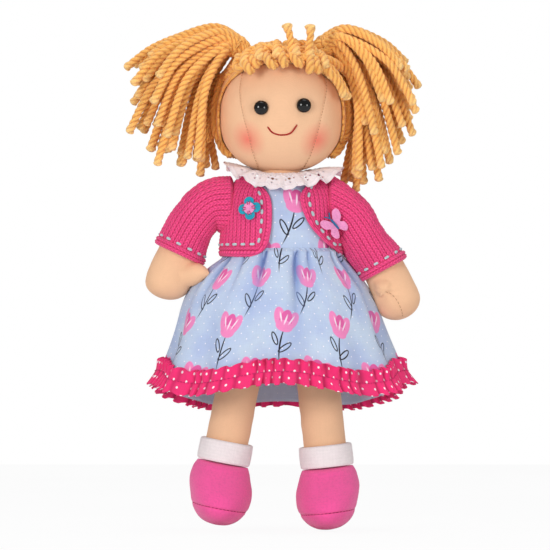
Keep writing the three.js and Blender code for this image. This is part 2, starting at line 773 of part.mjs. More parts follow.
function buildArm(name, arm) {
  const curve = armCurve(arm);
  const rings = armShares.map(([share, size]) => {
    const hand = THREE.MathUtils.smoothstep(share, 0.6, 0.8);
    const upper = share === 0 ? shoulderSeamRadius : armRadius;
    const radius = size * THREE.MathUtils.lerp(upper, handRadius / armShares[6][1], hand);
    return armRing(curve, arm.side, share, radius, radius * armFlatness);
  });
  rings.push([curve.getPointAt(1)]);
  const thumbPoints = smoothPoints(arm.thumbShares.map((place) => armPlace(arm, place)), 5);
  const thumb = tube(thumbPoints, (share) => thumbRadius * (1 - 0.62 * share ** 4), 10);
  addPiece(`arm_${name}`, joined(loft(rings), thumb), skin);
  const sleeve = sheet(sleeveFace(arm, knitThickness), sleeveFace(arm, 0), true);
  addPiece(`sleeve_${name}`, sleeve, knitPink);
}

function sleeveFace(arm, extra) {
  const curve = armCurve(arm);
  return sleeveShares.map((share) => {
    const cap = 1 - THREE.MathUtils.smoothstep(share, 0, 0.3);
    const radius = armRadiusAt(share) + sleeveEase + extra;
    const height = THREE.MathUtils.lerp(radius, sleeveCapRadius - knitThickness + extra, cap);
    return armRing(curve, arm.side, share, height, radius);
  });
}

// The room that a sleeve takes at the cardigan's side
function sleeveCutter(arm) {
  return loft(sleeveFace(arm, knitThickness + gap));
}

// A leg from its seam to the ankle, which lies a length down and a splay out from it
function buildLeg(name, side, length, splay) {
  const hip = new THREE.Vector3(side * hipAcross, 0, -seatDrop - gap);
  const foot = new THREE.Vector3(side * (hipAcross + splay), 0, -seatDrop - length);
  const down = foot.clone().sub(hip).normalize();
  const sideways = new THREE.Vector3(-down.z, 0, down.x);
  const rings = legShares.map(([share, width, depth]) => {
    const across = new THREE.Vector3(1, 0, 0).lerp(sideways, share).normalize();
    const halfWidth = THREE.MathUtils.lerp(legSeamHalfWidth, legRadius, width);
    const halfDepth = THREE.MathUtils.lerp(legSeamHalfDepth, legRadius, depth);
    const middle = hip.clone().lerp(foot, share);
    return Array.from({ length: legSides }, (_, i) => {
      const [x, y] = oval((fullTurn * i) / legSides, halfWidth, halfDepth, 1);
      return middle.clone().addScaledVector(across, x).add(new THREE.Vector3(0, y, 0));
    });
  });
  addPiece(`leg_${name}`, loft(rings), skin);

  const bandTop = -(sockBandHeight - sockBandOverlap);
  const ringAt = (distance, halfWidth, toe, heel) => {
    const middle = foot.clone().addScaledVector(down, distance);
    return Array.from({ length: bootieSides }, (_, i) => {
      const angle = (fullTurn * i) / bootieSides;
      const [x, y] = oval(angle, halfWidth, Math.cos(angle) > 0 ? toe : heel, 1);
      return middle.clone().addScaledVector(sideways, x).add(new THREE.Vector3(0, y, 0));
    });
  };
  const bootie = loft(bootieShares.map(([share, width, toe, heel]) => ringAt(
    gap + share * bootieHeight,
    width * bootieHalfWidth,
    toe * toeReach,
    heel * heelReach,
  )));
  const soleTop = gap + bootieHeight - soleHeight;
  const slab = (distance) => ringAt(distance, overrun, overrun, overrun);
  const block = (from, to) => loft([from, to].map(slab));
  addPiece(`bootie_${name}`, cutAway(bootie, block(soleTop, bootieHeight + overrun)), jersey);
  addPiece(`sole_${name}`, cutAway(bootie, block(-overrun, soleTop + gap)), jersey);
  const inner = legRadius * 0.99 + gap;
  const outer = inner + sockBandThickness;
  const top = -bandTop;
  const bottom = -sockBandOverlap + 2 * gap;
  const fold = 0.35 * sockBandThickness;
  const band = revolved([
    [inner, bottom], [outer - fold, bottom], [outer, bottom + fold], [outer, top - fold],
    [outer - fold, top], [inner, top], [inner, bottom],
  ], bootieSides);
  addPiece(`sock_band_${name}`, placed(band, down.clone().negate(), foot), sockWhite);
}

function buildBodice() {
  const shares = torsoRows(torsoShareAt(waistDrop), torsoShareAt(shoulderRise - neckEdgeDrop));
  const face = (distance) => grid(shares.length, torsoSides, (row, column) => outside(
    torsoSurface,
    (fullTurn * column) / torsoSides,
    shares[row],
    distance,
  ));
  const bodice = sheet(face(gap + clothThickness), face(gap), true);
  addPiece('bodice', cutAway(bodice, armholeCutter(1), armholeCutter(-1)), dressBlue);
}

// How low the hem hangs: lower at the back, highest at the front and the sides
function hemDropAt(angle) {
  const tilt = hemTilt * Math.cos(angle);
  const wave = hemSideRise * Math.cos(2 * angle) - hemWave * Math.cos(4 * angle);
  return hemDrop - tilt + wave;
}

const skirtCurve = new THREE.CatmullRomCurve3(
  skirtShares.map(([down, flare]) => new THREE.Vector3(down, flare, 0)),
  false,
  'centripetal',
);

// The skirt's outer face at an angle and a share of the way down
function skirtPoint(angle, share, offset) {
  const [down, flare] = skirtCurve.getPoint(share).toArray();
  const waist = torsoSurface(angle, torsoShareAt(0));
  const hem = new THREE.Vector2(...oval(angle, hemHalfWidth, hemHalfDepth, 1));
  const plan = new THREE.Vector2(waist.x, waist.y).lerp(hem, flare);
  const folds = 0.75 * Math.cos(foldCount * angle) + 0.25 * Math.cos((foldCount - 5) * angle + 1);
  const fold = foldDepth * flare * folds;
  plan.setLength(plan.length() + offset + fold);
  return new THREE.Vector3(plan.x, plan.y, -down * hemDropAt(angle));
}

function buildSkirt() {
  const columns = foldCount * foldSteps;
  const rows = skirtShares.length;
  const lap = hemLap / hemDrop;
  const face = (offset) => grid(rows, columns, (row, column) => skirtPoint(
    (fullTurn * column) / columns,
    (row / (rows - 1)) * (1 - lap),
    offset,
  ));
  const ease = 2 * gap;
  addPiece('skirt', sheet(face(ease + clothThickness), face(ease), true), dressBlue);

  const ripple = [0, 1, 0.35];
  const rowShares = [0, 0.5, 1];
  const openShares = [1, 0, 1];
  const hemSlope = (1 - skirtShares.at(-2)[0]) * (skirtShares.length - 1);
  const ruffleFace = (offset) => grid(rowShares.length, columns, (row, column) => {
    const angle = (fullTurn * column) / columns;
    const share = 1 - (ruffleHeight * (1 - rowShares[row])) / (hemSlope * hemDropAt(angle));
    const open = openShares[row] * ripple[column % ruffleSteps] * ruffleDepth;
    return skirtPoint(angle, share, 2 * ease + clothThickness + open + offset);
  });
  addPiece('hem_ruffle', sheet(ruffleFace(clothThickness), ruffleFace(0), true), rufflePink);
}

function buildLaceCollar() {
  const columns = collarFrills * 4;
  const rows = 4;
  const face = (offset) => grid(rows, columns, (row, column) => {
    const angle = (fullTurn * column) / columns;
    const share = row / (rows - 1);
    const edge = collarEdgeRise - collarSideLift * Math.cos(2 * angle) - collarFrontDrop * Math.cos(angle);
    const scallop = collarScallop * Math.cos(2 * collarFrills * angle) * (row === rows - 1 ? 1 : 0);
    const [innerX, innerY] = oval(angle, collarInnerRadius, collarInnerRadius, 1);
    const [outerX, outerY] = oval(angle, collarHalfWidth + scallop, collarHalfDepth + scallop, 1);
    const frill = collarFrillHeight * share * Math.cos(collarFrills * angle);
    const arch = collarArch * Math.sin(Math.PI * share);
    return new THREE.Vector3(
      THREE.MathUtils.lerp(innerX, outerX, share),
      THREE.MathUtils.lerp(innerY, outerY, share),
      THREE.MathUtils.lerp(collarRise, edge, share ** 1.6) + arch + frill + offset,
    );
  });
  addPiece('lace_collar', sheet(face(laceThickness), face(0), true), laceWhite);
}

// A point on the cardigan, which stands off the torso and flares at its hem
function cardiganPoint(angle, share, distance) {
  const low = torsoShareAt(-cardiganHemDrop);
  const high = torsoShareAt(shoulderRise - cardiganTopDrop);
  const flare = cardiganFlare * (1 - THREE.MathUtils.smoothstep(share, 0, 0.35));
  const base = gap + clothThickness + knitEase + flare;
  return outside(torsoSurface, angle, THREE.MathUtils.lerp(low, high, share), base + distance);
}

function buildCardigan() {
  const cutters = [
    armholeCutter(1),
    armholeCutter(-1),
    sleeveCutter(leftArm),
    sleeveCutter(rightArm),
  ];
  const seam = (0.5 * gap) / bodyHalfDepth;
  const backRows = 9;
  const backColumns = 15;
  const backFace = (distance) => grid(backRows, backColumns, (row, column) => cardiganPoint(
    quarterTurn + seam + ((2 * quarterTurn - 2 * seam) * column) / (backColumns - 1),
    row / (backRows - 1),
    distance,
  ));
  const back = sheet(backFace(knitThickness), backFace(0), false);
  addPiece('cardigan_back', cutAway(back, ...cutters), knitPink);
  const frontRows = 9;
  const frontColumns = 8;
  const fronts = [['right', -1, rightFrontEdgeShares], ['left', 1, leftFrontEdgeShares]];
  for (const [name, side, shares] of fronts) {
    const edge = new THREE.CatmullRomCurve3(shares.map((share, i) => new THREE.Vector3(i, share, 0)));
    const face = (distance) => grid(frontRows, frontColumns, (row, column) => {
      const from = edge.getPoint(row / (frontRows - 1)).y * quarterTurn;
      const angle = THREE.MathUtils.lerp(from, quarterTurn - seam, column / (frontColumns - 1));
      return cardiganPoint(side * angle, row / (frontRows - 1), distance);
    });
    const front = sheet(face(knitThickness), face(0), false);
    addPiece(`cardigan_front_${name}`, cutAway(front, ...cutters), knitPink);
  }
}

// The place on the cardigan's outer face at an angle and a height, and the way that it faces
function cardiganSeat(angle, rise) {
  const low = torsoShareAt(-cardiganHemDrop);
  const high = torsoShareAt(shoulderRise - cardiganTopDrop);
  const share = (torsoShareAt(rise) - low) / (high - low);
  const seat = cardiganPoint(angle, share, knitThickness);
  const direction = cardiganPoint(angle, share, 2 * knitThickness).sub(seat).normalize();
  return { seat, direction };
}

// A flat felt shape that lies on the cardigan, turned in its own plane
function feltPiece(shape, spin, lift, { seat, direction }) {
  const settings = { depth: feltThickness, bevelEnabled: false, curveSegments: 6 };
  const felt = new THREE.ExtrudeGeometry(shape, settings);
  felt.deleteAttribute('normal');
  felt.deleteAttribute('uv');
  felt.rotateZ(spin);
  const upright = new THREE.Vector3(0, 0, 1);
  const across = upright.clone().cross(direction).normalize();
  const basis = new THREE.Matrix4().makeBasis(across, direction.clone().cross(across), direction);
  return felt.applyMatrix4(basis).translate(
    seat.x + direction.x * lift,
    seat.y + direction.y * lift,
    seat.z + direction.z * lift,
  );
}

function buildFlower() {
  const petals = new THREE.Shape();
  const steps = 32;
  const notch = 0.29;
  for (let i = 0; i < steps; i += 1) {
    const angle = (fullTurn * i) / steps;
    const radius = flowerRadius * (1 - notch + notch * Math.cos(4 * angle));
    const place = [radius * Math.cos(angle), radius * Math.sin(angle)];
    if (i === 0) petals.moveTo(...place);
    else petals.lineTo(...place);
  }
  const centre = new THREE.Shape();
  centre.absarc(0, 0, flowerCentreRadius, 0, fullTurn, false);
  const seat = cardiganSeat(flowerAngle, flowerRise);
  const stand = 2 * gap;
  addPiece('flower_petals', feltPiece(petals, 8 * degree, stand, seat), teal);
  addPiece('flower_centre', feltPiece(centre, 0, stand + feltThickness + gap, seat), feltPink);
}

function buildButterfly() {
  const wingShares = [
    [0, 0.16], [0.2, 0.62], [0.5, 0.98], [0.82, 1], [0.94, 0.72], [0.8, 0.3], [0.5, 0.04],
    [0.72, -0.22], [0.7, -0.66], [0.42, -0.86], [0.18, -0.6], [0, -0.2],
  ];
  const mirrored = wingShares.slice(1, -1).reverse().map(([x, y]) => [-x, y]);
  const outline = [...wingShares, ...mirrored].map(([x, y]) => new THREE.Vector2(
    x * butterflyHalfSpan,
    y * butterflyHalfSpan,
  ));
  const wings = new THREE.Shape(outline);
  const seat = cardiganSeat(butterflyAngle, butterflyRise);
  const stand = 3 * gap;
  addPiece('butterfly_wings', feltPiece(wings, butterflyTurn, stand, seat), feltPink);
  const body = new THREE.Shape();
  const bodyHalfLength = 0.45 * butterflyHalfSpan;
  body.absellipse(0, bodyHalfLength / 3, butterflyBodyRadius, bodyHalfLength, 0, fullTurn, false, 0);
  addPiece('butterfly_body', feltPiece(body, butterflyTurn, stand + feltThickness + gap, seat), threadBlue);
}

buildTorso();
buildHeadAndEyes();
buildHairCap();
buildFringe();
buildBunch('right', -1, rightBunchShares, rightBunchReach, rightBunchDrop);
buildBunch('left', 1, leftBunchShares, leftBunchReach, leftBunchDrop);
buildArm('right', rightArm);
buildArm('left', leftArm);
buildLeg('right', -1, rightLegLength, rightLegSplay);
buildLeg('left', 1, leftLegLength, leftLegSplay);
buildBodice();
buildSkirt();
buildLaceCollar();
buildCardigan();
buildFlower();
buildButterfly();

export default doll;
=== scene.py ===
"""A stuffed rag doll with yarn hair in two bunches, a gathered dress and a short knitted cardigan.

Shapes are worked out in millimetres, with Z up, the face looking along -Y and the doll's left on +X,
and every mesh is turned into metres when it is made.
"""

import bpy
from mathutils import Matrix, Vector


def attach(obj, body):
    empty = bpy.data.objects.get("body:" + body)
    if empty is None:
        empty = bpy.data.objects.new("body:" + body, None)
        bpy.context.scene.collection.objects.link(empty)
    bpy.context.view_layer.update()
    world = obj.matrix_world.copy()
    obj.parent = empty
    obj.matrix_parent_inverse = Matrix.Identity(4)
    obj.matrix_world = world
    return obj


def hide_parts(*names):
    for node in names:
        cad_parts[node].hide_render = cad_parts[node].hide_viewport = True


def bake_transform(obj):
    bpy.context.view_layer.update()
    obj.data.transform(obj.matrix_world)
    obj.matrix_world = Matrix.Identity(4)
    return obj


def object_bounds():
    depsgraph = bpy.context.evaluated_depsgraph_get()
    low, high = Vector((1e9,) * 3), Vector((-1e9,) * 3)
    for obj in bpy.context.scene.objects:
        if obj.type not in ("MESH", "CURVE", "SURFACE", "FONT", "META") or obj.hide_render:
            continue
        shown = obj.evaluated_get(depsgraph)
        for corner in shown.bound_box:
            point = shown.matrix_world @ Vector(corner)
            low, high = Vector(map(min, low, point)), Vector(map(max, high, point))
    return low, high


bl_info = {
    "name": "Rag Doll",
    "version": (1, 0, 0),
    "blender": (4, 5, 0),
    "location": "3D Viewport > Sidebar > Rag Doll",
    "description": "Builds a stuffed rag doll in a gathered dress and a knitted cardigan",
    "category": "Add Mesh",
}

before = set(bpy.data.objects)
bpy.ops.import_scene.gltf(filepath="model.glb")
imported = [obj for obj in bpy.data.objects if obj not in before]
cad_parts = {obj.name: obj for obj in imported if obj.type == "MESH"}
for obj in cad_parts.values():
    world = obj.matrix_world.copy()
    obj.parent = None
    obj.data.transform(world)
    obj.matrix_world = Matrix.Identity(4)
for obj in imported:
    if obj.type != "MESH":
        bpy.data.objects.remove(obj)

import math
import random

import bmesh
import bpy
import numpy as np
from bpy.props import FloatProperty, FloatVectorProperty, IntProperty, PointerProperty
from mathutils import Vector
from mathutils.bvhtree import BVHTree

CAD_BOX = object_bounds()
MM = 0.001
TURN = 2 * math.pi
DEGREE = math.pi / 180

# Body, as the solids have it
GAP = 0.35
BODY_HALF_WIDTH = 37.5
BODY_HALF_DEPTH = 22.5
SEAT_DROP = 50
SHOULDER_RISE = 45
BODY_ROUNDNESS = 0.87
NECK_RADIUS = 12.2
NECK_BALL_RADIUS = 13
NECK_PIVOT_RISE = 53
HEAD_HALF_WIDTH = 43
HEAD_HALF_DEPTH = 39
CHIN_RISE = 52
CHEEK_RISE = 89
CROWN_RISE = 138
HEAD_FULLNESS = 0.88
EYES = {"right": (-13.6, 96), "left": (15.7, 97.6)}
EYE_RADIUS = 5
EYE_RIM_RISE = 0.8
EYE_DOME_HEIGHT = 3.4
HAIR_THICKNESS = 5.8
HAIRLINE_HALF_WIDTH = 42.6
HAIRLINE_RISE = 128
HAIRLINE_MIDDLE_RISE = 92
NAPE_RISE = 63
TEMPLE_DEPTH = 3
SHOWN_TEMPLE_DEPTH = TEMPLE_DEPTH - 5
OPENING_HALF_WIDTH = HAIRLINE_HALF_WIDTH + 1.2
OPENING_DROP = HAIRLINE_MIDDLE_RISE - CHIN_RISE + NAPE_RISE - CHIN_RISE
STRAND_RADIUS = 2.75
PLIES = 3
STRAND_SHIFT = 37
PRINT_SCALE = 1.5
FRINGE_FROM = -33 * DEGREE
FRINGE_TO = 38 * DEGREE
FRINGE_END = 76 * DEGREE
FRINGE_TURNS = 7
FRINGE_STRAND_RADIUS = 2.35
FRINGE_LOOP_HEIGHT = 5.6
FRINGE_LOOP_DEPTH = 1.9
FRINGE_STAND_OFF = 2.2
FRINGE_ENDS = [(-24.5, 125.5), (-14.7, 130.1), (-2.8, 131.6), (10, 132.3), (19.7, 131.3), (29.5, 124.8)]
BUNCH_ROOT_LIFT = 52 * DEGREE
BUNCH_LEAN = 38 * DEGREE
BUNCH_CREST = 19
BUNCH_HALF_DEPTH = 24
BUNCHES = {"right": (-1, 76, 78), "left": (1, 64, 88)}
TIE_INNER_RADIUS = 8.2
TIE_LEAN = 24 * DEGREE
TIE_RING_RADIUS = 7.4
TIE_YARN_RADIUS = 1.15
SHOULDER_SEAM_ACROSS = 35
SHOULDER_PIVOT_RISE = 30
SHOULDER_SEAM_RADIUS = 14.5
ARM_RADIUS = 15
ARM_FLATNESS = 0.94
HAND_RADIUS = 16
HAND_FULLNESS = 1.06
THUMB_RADIUS = 6.6
ARMS = {"right": (-1, 45, 65.5), "left": (1, 50.5, 78.5)}
HIP_ACROSS = 21
LEG_RADIUS = 14.8
LEGS = {"right": (-1, 91, 17.6), "left": (1, 94, 10.3)}
LEG_SEAM_HALF_WIDTH = 12.5
LEG_SEAM_HALF_DEPTH = 1
BOOTIE_HEIGHT = 50
BOOTIE_HALF_WIDTH = 22
TOE_REACH = 35
HEEL_REACH = 18
SOLE_HEIGHT = 12.5
SOCK_BAND_HEIGHT = 16
SOCK_BAND_THICKNESS = 3.4
SOCK_BAND_OVERLAP = 8

# Clothes, as the solids have them
CLOTH_THICKNESS = 1.1
WAIST_DROP = 0.4
HEM_HALF_WIDTH = 85
HEM_HALF_DEPTH = 60
HEM_DROP = 102.5
HEM_TILT = 9
HEM_SIDE_RISE = 4.2
HEM_WAVE = 5
FOLD_COUNT = 12
FOLD_DEPTH = 2.6
HEM_LAP = 2
RUFFLE_HEIGHT = 17
RUFFLE_DEPTH = 3.4
COLLAR_INNER_RADIUS = 14.2
COLLAR_RISE = 50.2
COLLAR_ARCH = 2.4
COLLAR_HALF_WIDTH = 38
COLLAR_HALF_DEPTH = 28
COLLAR_EDGE_RISE = 50
COLLAR_SIDE_LIFT = 6
COLLAR_FRONT_DROP = 4
COLLAR_FRILLS = 10
COLLAR_FRILL_HEIGHT = 2
COLLAR_SCALLOP = 1.3
LACE_THICKNESS = 0.9
KNIT_THICKNESS = 2.4
KNIT_EASE = 0.9
CARDIGAN_HEM_DROP = 6
CARDIGAN_TOP_DROP = 1
CARDIGAN_FLARE = 1.6
CARDIGAN_HEIGHT = 56
CARDIGAN_MEAN_RADIUS = 33.0
ARMHOLE_HALF_DEPTH = 16.6
ARMHOLE_HALF_HEIGHT = 18.6
SLEEVE_RIBS = 32
SLEEVE_CAP_RADIUS = 19.6
SLEEVE_EASE = 0.5
FLOWER_ANGLE = -33 * DEGREE
FLOWER_RISE = 27.5
FLOWER_RADIUS = 7.4
FLOWER_CENTRE_RADIUS = 4
BUTTERFLY_ANGLE = 43 * DEGREE
BUTTERFLY_RISE = 19
BUTTERFLY_HALF_SPAN = 9.2
BUTTERFLY_TURN = 42 * DEGREE
FELT_THICKNESS = 1.2

# Outlines, as shares of the sizes above
TORSO_SHARES = [
    (0, 0.88, 0.045), (0.052, 0.95, 0.2), (0.137, 0.985, 0.46), (0.253, 1, 0.74), (0.442, 0.975, 1),
    (0.632, 0.965, 0.98), (0.8, 0.955, 0.91), (0.91, 0.9, 0.78), (0.968, 0.74, 0.65), (0.994, 0.5, 0.57),
    (1, 0.325, 0.542),
]
ARM_SIZE_SHARES = [
    (0, 0.97), (0.12, 1.02), (0.3, 1.03), (0.5, 1), (0.64, 0.97), (0.74, 1.02), (0.84, 1.06),
    (0.915, 0.96), (0.965, 0.7), (0.99, 0.38), (1, 0),
]
ARM_SHARES = {
    "right": [(0, 0), (0.28, 0.03), (0.54, 0.22), (0.76, 0.49), (0.923, 0.763), (1, 1)],
    "left": [(0, 0), (0.269, 0.115), (0.516, 0.36), (0.733, 0.6), (0.872, 0.803), (1, 1)],
}
THUMB_SHARES = {
    "right": [
        (0.79, 0.74, 0.25), (0.62, 0.735, 0.42), (0.5, 0.725, 0.62), (0.4, 0.722, 0.8), (0.31, 0.73, 0.92),
    ],
    "left": [
        (0.7, 0.69, 0.4), (0.72, 0.73, 0.6), (0.735, 0.76, 0.7), (0.755, 0.78, 0.74), (0.77, 0.79, 0.76),
    ],
}
THUMB_SIZE_SHARES = {"right": [1.3, 1.3, 1.12, 0.74, 0.16], "left": [1.1, 1.05, 0.95, 0.7, 0.2]}
PALM_SEAM_SHARES = [(0.72, 0.765), (0.8, 0.785), (0.88, 0.84), (0.94, 0.92), (0.965, 0.985)]
SLEEVE_END_SHARE = 0.62
LEG_SHARES = [
    (0, 0, 0), (0.05, 0.6, 0.3), (0.13, 0.9, 0.62), (0.25, 1, 0.93), (0.4, 1, 1), (0.65, 0.97, 0.99),
    (1, 0.94, 0.96),
]
BOOTIE_SHARES = [
    (0.152, 0.8, 0.4, 0.78), (0.2, 0.86, 0.52, 0.92), (0.28, 0.925, 0.6, 0.96), (0.45, 1, 0.8, 1),
    (0.62, 0.965, 0.97, 1), (0.78, 0.855, 1, 0.97), (0.9, 0.65, 0.88, 0.82), (0.97, 0.41, 0.62, 0.55),
    (0.995, 0.17, 0.3, 0.26), (1, 0, 0, 0),
]
SKIRT_SHARES = [(0, 0), (0.06, 0.035), (0.14, 0.14), (0.35, 0.4), (0.67, 0.71), (1, 1)]
HEM_SLOPE = (1 - SKIRT_SHARES[-2][0]) * (len(SKIRT_SHARES) - 1)
FRONT_EDGE_SHARES = {
    "right": [
        (0, 0.33), (0.03, 0.2), (0.09, 0.125), (0.18, 0.095), (0.3, 0.08), (0.47, 0.085), (0.6, 0.12),
        (0.72, 0.2), (0.83, 0.33), (0.91, 0.46), (1, 0.64),
    ],
    "left": [
        (0, 0.97), (0.05, 0.74), (0.1, 0.56), (0.17, 0.42), (0.25, 0.32), (0.34, 0.25), (0.44, 0.21),
        (0.56, 0.2), (0.67, 0.25), (0.79, 0.35), (0.89, 0.47), (1, 0.64),
    ],
}
BUNCH_SHARES = {
    "right": [
        (0.78, 0.0, 0.2), (1, 0.1, -0.25), (0.93, 0.25, 0.45), (0.78, 0.2, -0.7), (0.93, 0.42, -0.1),
        (0.74, 0.42, 0.9), (0.96, 0.68, 0.3), (0.84, 0.67, -0.5), (0.7, 0.62, 0.75), (0.77, 0.84, 0.1),
        (0.64, 0.8, -0.85), (0.7, 0.97, 0.5), (0.5, 0.97, -0.3), (0.34, 0.93, 0.35),
    ],
    "left": [
        (0.85, 0.05, 0.1), (1, 0.24, -0.3), (0.92, 0.35, 0.5), (0.6, 0.36, 0.95), (0.93, 0.62, -0.05),
        (0.5, 0.62, 0.85), (0.82, 0.68, -0.7), (0.76, 0.77, 0.4), (0.68, 0.84, -0.35), (0.58, 0.88, 0.6),
        (0.56, 0.98, 0.05), (0.4, 1, -0.45), (0.33, 0.96, 0.3), (0.96, 0.44, 0.15), (0.9, 0.5, -0.45),
    ],
}

# Strands of each bunch that hang inside the others
INNER_STRANDS = [
    (0.31, 1.06, -0.5), (0.17, 1.0, -0.95), (0.26, 0.98, -0.75), (0.3, 0.93, 0.2), (0.34, 0.9, 0.55),
]
# The fringe's strands, each from one place to another in the front view
UPRIGHT_STRANDS = (((6.9, 133), (3.6, 154.2)), ((17.2, 129), (20.2, 153.6)))
FRINGE_ARCHES = (
    ((16, 131), (36, 117), 3), ((22, 131), (46, 121), 3), ((28, 127), (46.5, 102), 5),
    ((-31, 127), (-1, 136), 6), ((6, 137), (27, 131), 6), ((-18, 133), (8, 134), 4),
)
# The skirt's four deep folds in front: each one's angle, lean, length and depth
FRONT_PLEATS = (
    (-1.07, 0.1, 0.8, 4.6), (-0.18, -0.18, 0.8, 4.4), (0.24, -0.13, 0.9, 4.4), (1.22, 0.03, 0.98, 4.6),
)
# The blush: the middle of each cheek in the front view, and its radius
CHEEKS = (((-23, 74.4), 14), ((25.2, 73.6), 14))


def linear(red, green, blue):
    """A colour in scene-linear values from its 0 to 255 display values."""
    shares = [x / 255 for x in (red, green, blue)]
    return tuple(x / 12.92 if x <= 0.04045 else ((x + 0.055) / 1.055) ** 2.4 for x in shares)


def colour_property(name, description, red, green, blue):
    return FloatVectorProperty(
        name=name, description=description, default=linear(red, green, blue), subtype="COLOR", min=0, max=1
    )


def length_property(name, description, millimetres):
    return FloatProperty(name=name, description=description, default=millimetres * MM, min=0, unit="LENGTH")


class DollSizes(bpy.types.PropertyGroup):
    """Sizes of the doll's yarn, cloth and knitting"""

    yarn_radius: length_property("Yarn radius", "Radius of a strand of hair", 2.75)
    yarn_lay: length_property("Yarn lay", "Length in which a ply goes once round its strand", 13)
    rib_width: length_property("Rib width", "Width of one column of knitted stitches", 3.4)
    stitch_height: length_property("Stitch height", "Height of one knitted stitch", 2.5)
    knit_relief: length_property("Knit relief", "How far a knitted stitch stands up", 1.2)
    dot_spacing: length_property("Dot spacing", "Distance between the frill's white dots", 7.6)
    dot_radius: length_property("Dot radius", "Radius of the frill's white dots", 0.9)
    print_width: length_property("Print width", "Width of one repeat of the printed blossoms", 48)
    print_height: length_property("Print height", "Height of one repeat of the printed blossoms", 72)
    strands: IntProperty(name="Strands", description="Strands of yarn in each bunch", default=52, min=18)
    ripples: IntProperty(name="Ripples", description="Ripples round the frill at the hem", default=58, min=12)


class DollColours(bpy.types.PropertyGroup):
    """Colours of the doll's cloth, yarn and felt"""

    skin: colour_property("Skin", "Cotton of the face, arms and legs", 240, 192, 153)
    cheek: colour_property("Cheek", "Blush on the cheeks", 240, 112, 96)
    mouth: colour_property("Mouth", "Thread of the mouth", 172, 38, 30)
    seam: colour_property("Seam", "Thread of the seams on the skin", 190, 138, 104)
    hair: colour_property("Hair", "Yarn of the hair", 255, 190, 98)
    hair_tip: colour_property("Hair tips", "Cut ends and fluff of the yarn", 255, 220, 150)
    # Colour of the painted shade in the grooves between the plies
    hair_shade: colour_property("Hair shade", "Grooves between the plies of the yarn", 220, 118, 40)
    cardigan: colour_property("Cardigan", "Wool of the cardigan", 255, 78, 144)
    # Colour of the painted shade in the gaps between the knitted stitches and inside the sleeves
    cardigan_shade: colour_property("Cardigan shade", "Gaps between the knitted stitches", 172, 12, 66)
    thread: colour_property("Running stitch", "Thread along the cardigan's edges", 190, 212, 216)
    bootie: colour_property("Booties", "Jersey of the booties", 250, 88, 162)
    sock: colour_property("Socks", "Jersey of the folded sock bands", 242, 232, 232)
    dress: colour_property("Dress", "Cotton of the dress", 176, 192, 226)
    blossom: colour_property("Blossoms", "Printed petals", 240, 136, 190)
    blossom_shade: colour_property("Blossom shade", "Darker printed petals", 226, 96, 164)
    stem: colour_property("Stems", "Printed stems", 34, 30, 44)
    frill: colour_property("Frill", "Cotton of the frill at the hem", 242, 44, 116)
    dots: colour_property("Dots", "White dots printed on the dress and the frill", 250, 244, 250)
    lace: colour_property("Lace", "Lace of the collar", 246, 236, 240)
    felt_teal: colour_property("Teal felt", "Petals of the felt flower", 14, 158, 184)
    felt_pink: colour_property("Pink felt", "Butterfly and flower centre", 240, 150, 200)
    thread_blue: colour_property("Blue thread", "Body of the butterfly", 38, 110, 158)
    thread_magenta: colour_property("Magenta thread", "Stitches on the flower", 206, 30, 110)


def sizes():
    return bpy.context.scene.doll_sizes


def colours():
    return bpy.context.scene.doll_colours


# Shapes

def through(points, share):
    """Points on a smooth curve through the given ones, at shares of the way along their list."""
    points = np.asarray(points, float)
    share = np.asarray(share, float)
    ends = np.vstack([2 * points[0] - points[1], points, 2 * points[-1] - points[-2]])
    place = np.clip(share.ravel(), 0, 1) * (len(points) - 1)
    i = np.minimum(place.astype(int), len(points) - 2)
    t = (place - i)[:, None]
    a, b, c, d = ends[i], ends[i + 1], ends[i + 2], ends[i + 3]
    found = 0.5 * (2 * b + (c - a) * t + (2 * a - 5 * b + 4 * c - d) * t**2 + (3 * b - a - 3 * c + d) * t**3)
    return found.reshape(*share.shape, points.shape[1])


def lengths(points):
    """The length along a line up to each of its points."""
    return np.concatenate([[0], np.cumsum(np.linalg.norm(np.diff(points, axis=0), axis=-1))])


def evenly(points, share):
    """Points on the same curve, at shares of its length."""
    table = np.linspace(0, 1, 400)
    length = lengths(through(points, table))
    return through(points, np.interp(np.asarray(share, float) * length[-1], length, table))


def row_lengths(points):
    """The mean length down a grid to each of its rows."""
    down = np.linalg.norm(np.diff(points, axis=0), axis=-1).mean(1)
    return np.concatenate([[0], np.cumsum(down)])[:, None]


def smooth(x, low=0.0, high=1.0):
    t = np.clip((np.asarray(x, float) - low) / (high - low), 0, 1)
    return t * t * (3 - 2 * t)


def mix(a, b, share):
    return a + (b - a) * share


def hump(x, width):
    """A smooth hump, 1 high in its middle."""
    return np.exp(-((x / width) ** 2))


def wrapped(angle):
    """The same angle, within half a turn of 0."""
    return np.mod(angle + math.pi, TURN) - math.pi


def turns(count):
    """Even angles once round."""
    return np.linspace(0, TURN, count, endpoint=False)


def unit(vectors):
    return vectors / np.maximum(np.linalg.norm(vectors, axis=-1, keepdims=True), 1e-12)


def stacked(*parts):
    return np.stack(np.broadcast_arrays(*[np.asarray(p, float) for p in parts]), axis=-1)


def oval(angle, half_width, half_depth, roundness=1.0):
    """A place in plan, with the front at angle 0 and the doll's left at a quarter turn."""
    sine, cosine = np.sin(angle), np.cos(angle)
    return (
        half_width * np.sign(sine) * np.abs(sine) ** roundness,
        -half_depth * np.sign(cosine) * np.abs(cosine) ** roundness,
    )


def outside(surface, angle, share, distance):
    """Points at a distance outside a surface, which is a function of an angle and a share."""
    angle, share = np.broadcast_arrays(np.asarray(angle, float), np.asarray(share, float))
    step = 0.002
    around = surface(angle + step, share) - surface(angle - step, share)
    upward = surface(angle, share + step) - surface(angle, share - step)
    return surface(angle, share) + unit(np.cross(around, upward)) * np.asarray(distance, float)[..., None]


